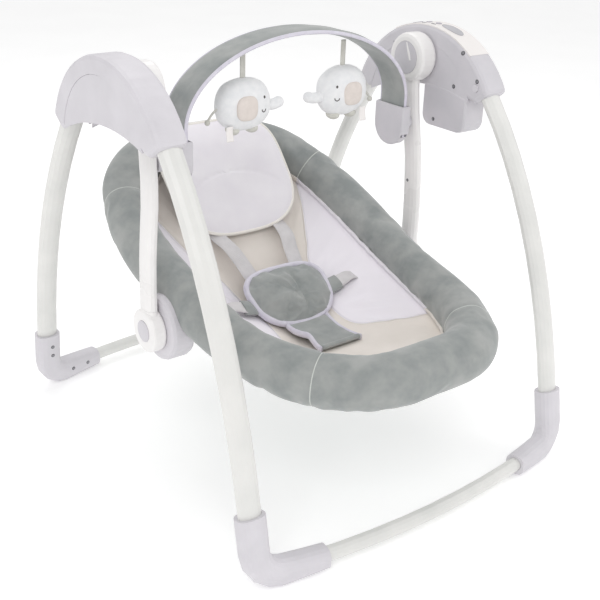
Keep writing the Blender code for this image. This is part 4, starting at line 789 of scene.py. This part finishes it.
RIBBON_SECTION = [(a / 2, -1) for a in range(-2, 3)] + [(a / 2, 1) for a in range(2, -3, -1)]
TAG_LENGTH, TAG_ROWS, TAG_COLUMNS = 0.020, 10, 10
for label, way in (("left", -1), ("right", 1)):
    x, y = way * 0.085, bar_y
    centre = Vector((x, y, 0.509))
    inward = Vector((-way, 0, 0))
    pieces = [ball("toy_body_" + label, centre, (0.0415, 0.0215, 0.0350), plush, 0.86, 56)]
    body = pieces[0]
    for v in body.data.vertices:
        v.co += (v.co - centre).normalized() * noise.noise(v.co * 60) * 0.0012

    trunk_path = smooth_path([centre + inward * a + Vector((0, 0, b)) for a, b in
                              ((0.024, -0.003), (0.042, -0.006), (0.052, -0.006), (0.0590, -0.004))])
    trunk = closed_skin("toy_trunk_" + label, tube_rows(trunk_path, 0.0080, 0.0076, UP_Y, count=20), plush)
    pieces += [trunk, ball("toy_trunk_tip_" + label, trunk_path[-1], (0.0078, 0.0080, 0.0077), plush)]
    for name, side in (("front", -1), ("back", 1)):
        ear_middle = centre + Vector((-inward.x * 0.005, side * 0.0196, -0.002))
        pieces.append(ball("toy_ear_%s_%s" % (name, label), ear_middle, (0.0165, 0.0042, 0.0165),
                           ear_cotton, 0.72))
    for name, shift in (("front", 0.014), ("rear", -0.016)):
        foot_middle = centre + inward * shift + Vector((0, 0, -0.0335))
        pieces.append(ball("toy_foot_%s_%s" % (name, label), foot_middle, (0.0085, 0.0120, 0.0070),
                           ribbon_grey))
    for name, side in (("front", -1), ("back", 1)):
        spots = []
        for a, b in [(0.023, 0.010)] + [(0.022 + 0.0034 * math.cos(t), -0.0060 + 0.0038 * math.sin(t))
                                        for t in [math.radians(180 + 20 * n) for n in range(10)]]:
            at = centre + inward * a + Vector((0, 0, b))
            spots.append(body.ray_cast(at + UP_Y * (side * 0.06), UP_Y * -side)[1])
        eye, smile = spots[0], spots[1:]
        pieces.append(ball("toy_eye_%s_%s" % (name, label), eye, (0.0018, 0.0012, 0.0020), thread,
                           segments=20))
        pieces.append(closed_skin("toy_smile_%s_%s" % (name, label),
                                  tube_rows(smile, 0.0007, 0.0007, UP_Y), thread))
    tail = smooth_path([centre - inward * a + Vector((0, 0, b)) for a, b in
                        ((0.038, -0.002), (0.046, -0.007), (0.053, -0.015), (0.055, -0.019))], 5)
    pieces.append(closed_skin("toy_tail_" + label, tube_rows(tail, 0.0016, 0.0016, UP_Y), ribbon_grey))
    pieces.append(ball("toy_tail_knot_" + label, tail[-1], (0.0038, 0.0036, 0.0040), ribbon_grey,
                       segments=24))
    top = Vector(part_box("toy_elephant_" + label)[1]).z
    ribbon_path = smooth_path([Vector((x, y, z)) for z in (0.5400, 0.5480, 0.5600, top)], 6)
    ribbon_rows = [[place + Vector((0.004 * a, 0.0005 * b, 0)) for a, b in RIBBON_SECTION]
                   for place in ribbon_path]
    pieces.append(closed_skin("toy_ribbon_" + label, ribbon_rows, ribbon_grey))
    points = []
    for k in range(TAG_ROWS + 1):
        drop = TAG_LENGTH * k / TAG_ROWS
        bow = 0.0012 * math.sin(k * 0.45)
        for n in range(TAG_COLUMNS):
            points.append(centre - inward * (0.024 + 0.0012 * n)
                          + Vector((0, -0.0150 - 0.00005 * n + bow, -0.0245 - drop)))
    corners = [r * TAG_COLUMNS + c for r in range(TAG_ROWS) for c in range(TAG_COLUMNS - 1)]
    faces = [(a, a + 1, a + TAG_COLUMNS + 1, a + TAG_COLUMNS) for a in corners]
    tag_data = bpy.data.meshes.new("toy_tag_" + label)
    tag_data.from_pydata(points, [], faces)
    tag = bpy.data.objects.new("toy_tag_" + label, tag_data)
    bpy.context.collection.objects.link(tag)
    tag_data.materials.append(satin)
    finish_with(tag, "SOLIDIFY", thickness=0.0004)
    pieces.append(tag)
    for piece in pieces:
        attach(piece, label + "_toy")
    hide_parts("toy_elephant_" + label)

# ---------------------------------------------------------------- screws, ribs and marks of the hard parts
# Small steel screws hold the heads, the arms and the feet, each sunk in a pocket drawn as a dark disc of
# painted shade. The caps of the arms carry a moulded pointer, and the white panel of the motor side has a
# grey window and strokes beside its keys.
screw_steel = new_finish("screw_steel", ("#8E8E92", "#A2A2A6"), 4, 0.4, 0.01, 0.35, metallic=1.0)
window_grey = new_finish("grey_window", ("#B2B1B6", "#BDBCC1"), 20, 1.2, 0.006, 0.25)
# Grey ink prints the strokes on the panel; the same grey on the motor housing's ticks is painted shade of
# its vent grooves.
ink_and_vent_shade = new_finish("grey_ink", ("#96959A", "#A3A2A7"), 8, 0.8, 0.0, 0.6)


def touch(node, start, way):
    """Surface point and normal of a CAD node, looking from a start point along a direction."""
    found = frame["nodes"][node]
    turned = found.matrix_world.inverted()
    hit, place, normal, _ = found.ray_cast(turned @ Vector(start), turned.to_3x3() @ Vector(way))
    return (found.matrix_world @ place, found.matrix_world.to_3x3() @ normal) if hit else None


def screw(name, node, start, way, radius, body):
    """A small screw head in a pocket, drawn as a dark disc of painted shade."""
    place, normal = touch(node, start, way)
    made = []
    # The pocket is a dark disc under the screw head: painted shade of the recess.
    for kind, size, deep, material in (("pocket", radius, 0.0008, dark_abs_and_pocket_shade),
                                       ("head", radius * 0.72, 0.0014, screw_steel)):
        bpy.ops.object.select_all(action="DESELECT")
        bpy.ops.mesh.primitive_cylinder_add(vertices=28, radius=size, depth=deep, location=place,
                                            rotation=normal.to_track_quat("Z", "Y").to_euler())
        piece = bpy.context.object
        piece.name = name + "_" + kind
        bpy.ops.object.transform_apply(location=True, rotation=True, scale=True)
        piece.data.materials.append(material)
        finish_with(piece, "BEVEL", width=size * 0.12, segments=2)
        made.append(piece)
    for piece in made:
        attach(piece, body)


for label, way in (("left", -1), ("right", 1)):
    for k, (x, z) in enumerate(((-0.266, 0.078), (-0.266, 0.062), (-0.226, 0.0195), (-0.197, 0.0195))):
        screw("rear_foot_screw_%s_%d" % (label, k + 1), "rear_foot_" + label, (way * -x, 0.1, z), (0, 1, 0),
              0.0030, "rear_frame")
    screw("arm_screw_" + label, "swing_arm_" + label, (0, AXIS_Y - 0.0115, 0.352), (way, 0, 0), 0.0024,
          "swing_arms")
for k, (y, z, node, radius) in enumerate(((-0.0852, 0.5595, "hub_arch_right", 0.0032),
                                          (-0.118, 0.5246, "hub_arch_right", 0.0032),
                                          (-0.0728, 0.5090, "motor_housing", 0.0030),
                                          (-0.0375, 0.4530, "motor_housing", 0.0028))):
    screw("motor_head_screw_%d" % (k + 1), node, (0.2, AXIS_Y + y, z), SIDE, radius, "front_frame")

for label, way in (("left", -1), ("right", 1)):
    cap = box_middle("arm_head_cap_" + label)
    face_x = way * 0.2131
    pointer = []
    for k in range(13):
        t = k / 12
        half = 0.0010 + 0.0030 * math.sin(math.pi * min(t * 0.62 + 0.38, 1)) ** 0.8 * t
        middle = Vector((face_x, cap.y - 0.0005 - 0.010 * t, cap.z + 0.0225 - 0.026 * t))
        pointer.append([middle + Vector((-way * 0.0009 * s, half * c, 0)) for c, s in circle(12)])
    wedge = closed_skin("cap_pointer_" + label, pointer, white_abs)
    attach(wedge, "swing_arms")

# Five grey ticks on the motor housing: painted shade of its vent grooves.
RIB_CIRCLE, RIB_CIRCLE_Z = 0.0630, 0.542
for k in range(5):
    angle = math.radians(-22 + 8 * k)
    start = (0.2, AXIS_Y + RIB_CIRCLE * math.cos(angle), RIB_CIRCLE_Z + RIB_CIRCLE * math.sin(angle))
    found = touch("motor_housing", start, SIDE) or touch("hub_arch_right", start, SIDE)
    if found:
        bpy.ops.object.select_all(action="DESELECT")
        bpy.ops.mesh.primitive_cube_add(size=1, location=found[0], rotation=(angle, 0, 0))
        bpy.ops.transform.resize(value=(0.0010, 0.0048, 0.0011), orient_type="LOCAL")
        tick = bpy.context.object
        tick.name = "vent_rib_%d" % (k + 1)
        bpy.ops.object.transform_apply(location=True, rotation=True, scale=True)
        tick.data.materials.append(ink_and_vent_shade)
        finish_with(tick, "BEVEL", width=0.0003, segments=2)
        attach(tick, "front_frame")


def on_panel(x, y, name, half_x, half_y, material, count=28, power=1.0):
    """A thin plate that follows the curved top of the panel."""
    rows = []
    for ring in range(9):
        t = ring / 8
        row = []
        for c, s in circle(count):
            at = (x + half_x * t * signed_power(c, power),
                  AXIS_Y + y + half_y * t * signed_power(s, power), 0.7)
            found = touch("control_panel", at, (0, 0, -1))
            row.append((found[0] if found else Vector((at[0], at[1], 0.58))) + Vector((0, 0, 0.0004)))
        rows.append(row)
    piece = skin_mesh(name, rows, closed_rows=False, material=material)
    finish_with(piece, "SOLIDIFY", thickness=0.0006, offset=0.0)
    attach(piece, "front_frame")


on_panel(0.267, -0.040, "panel_window", 0.0095, 0.0200, window_grey, power=0.9)
for k, y in enumerate((0.030, 0.010, -0.010)):
    for n in range(3):
        on_panel(0.2565, y - 0.003 + 0.003 * n, "panel_mark_%d_%d" % (k + 1, n + 1),
                 0.0012 + 0.0005 * n, 0.0006, ink_and_vent_shade, 12)
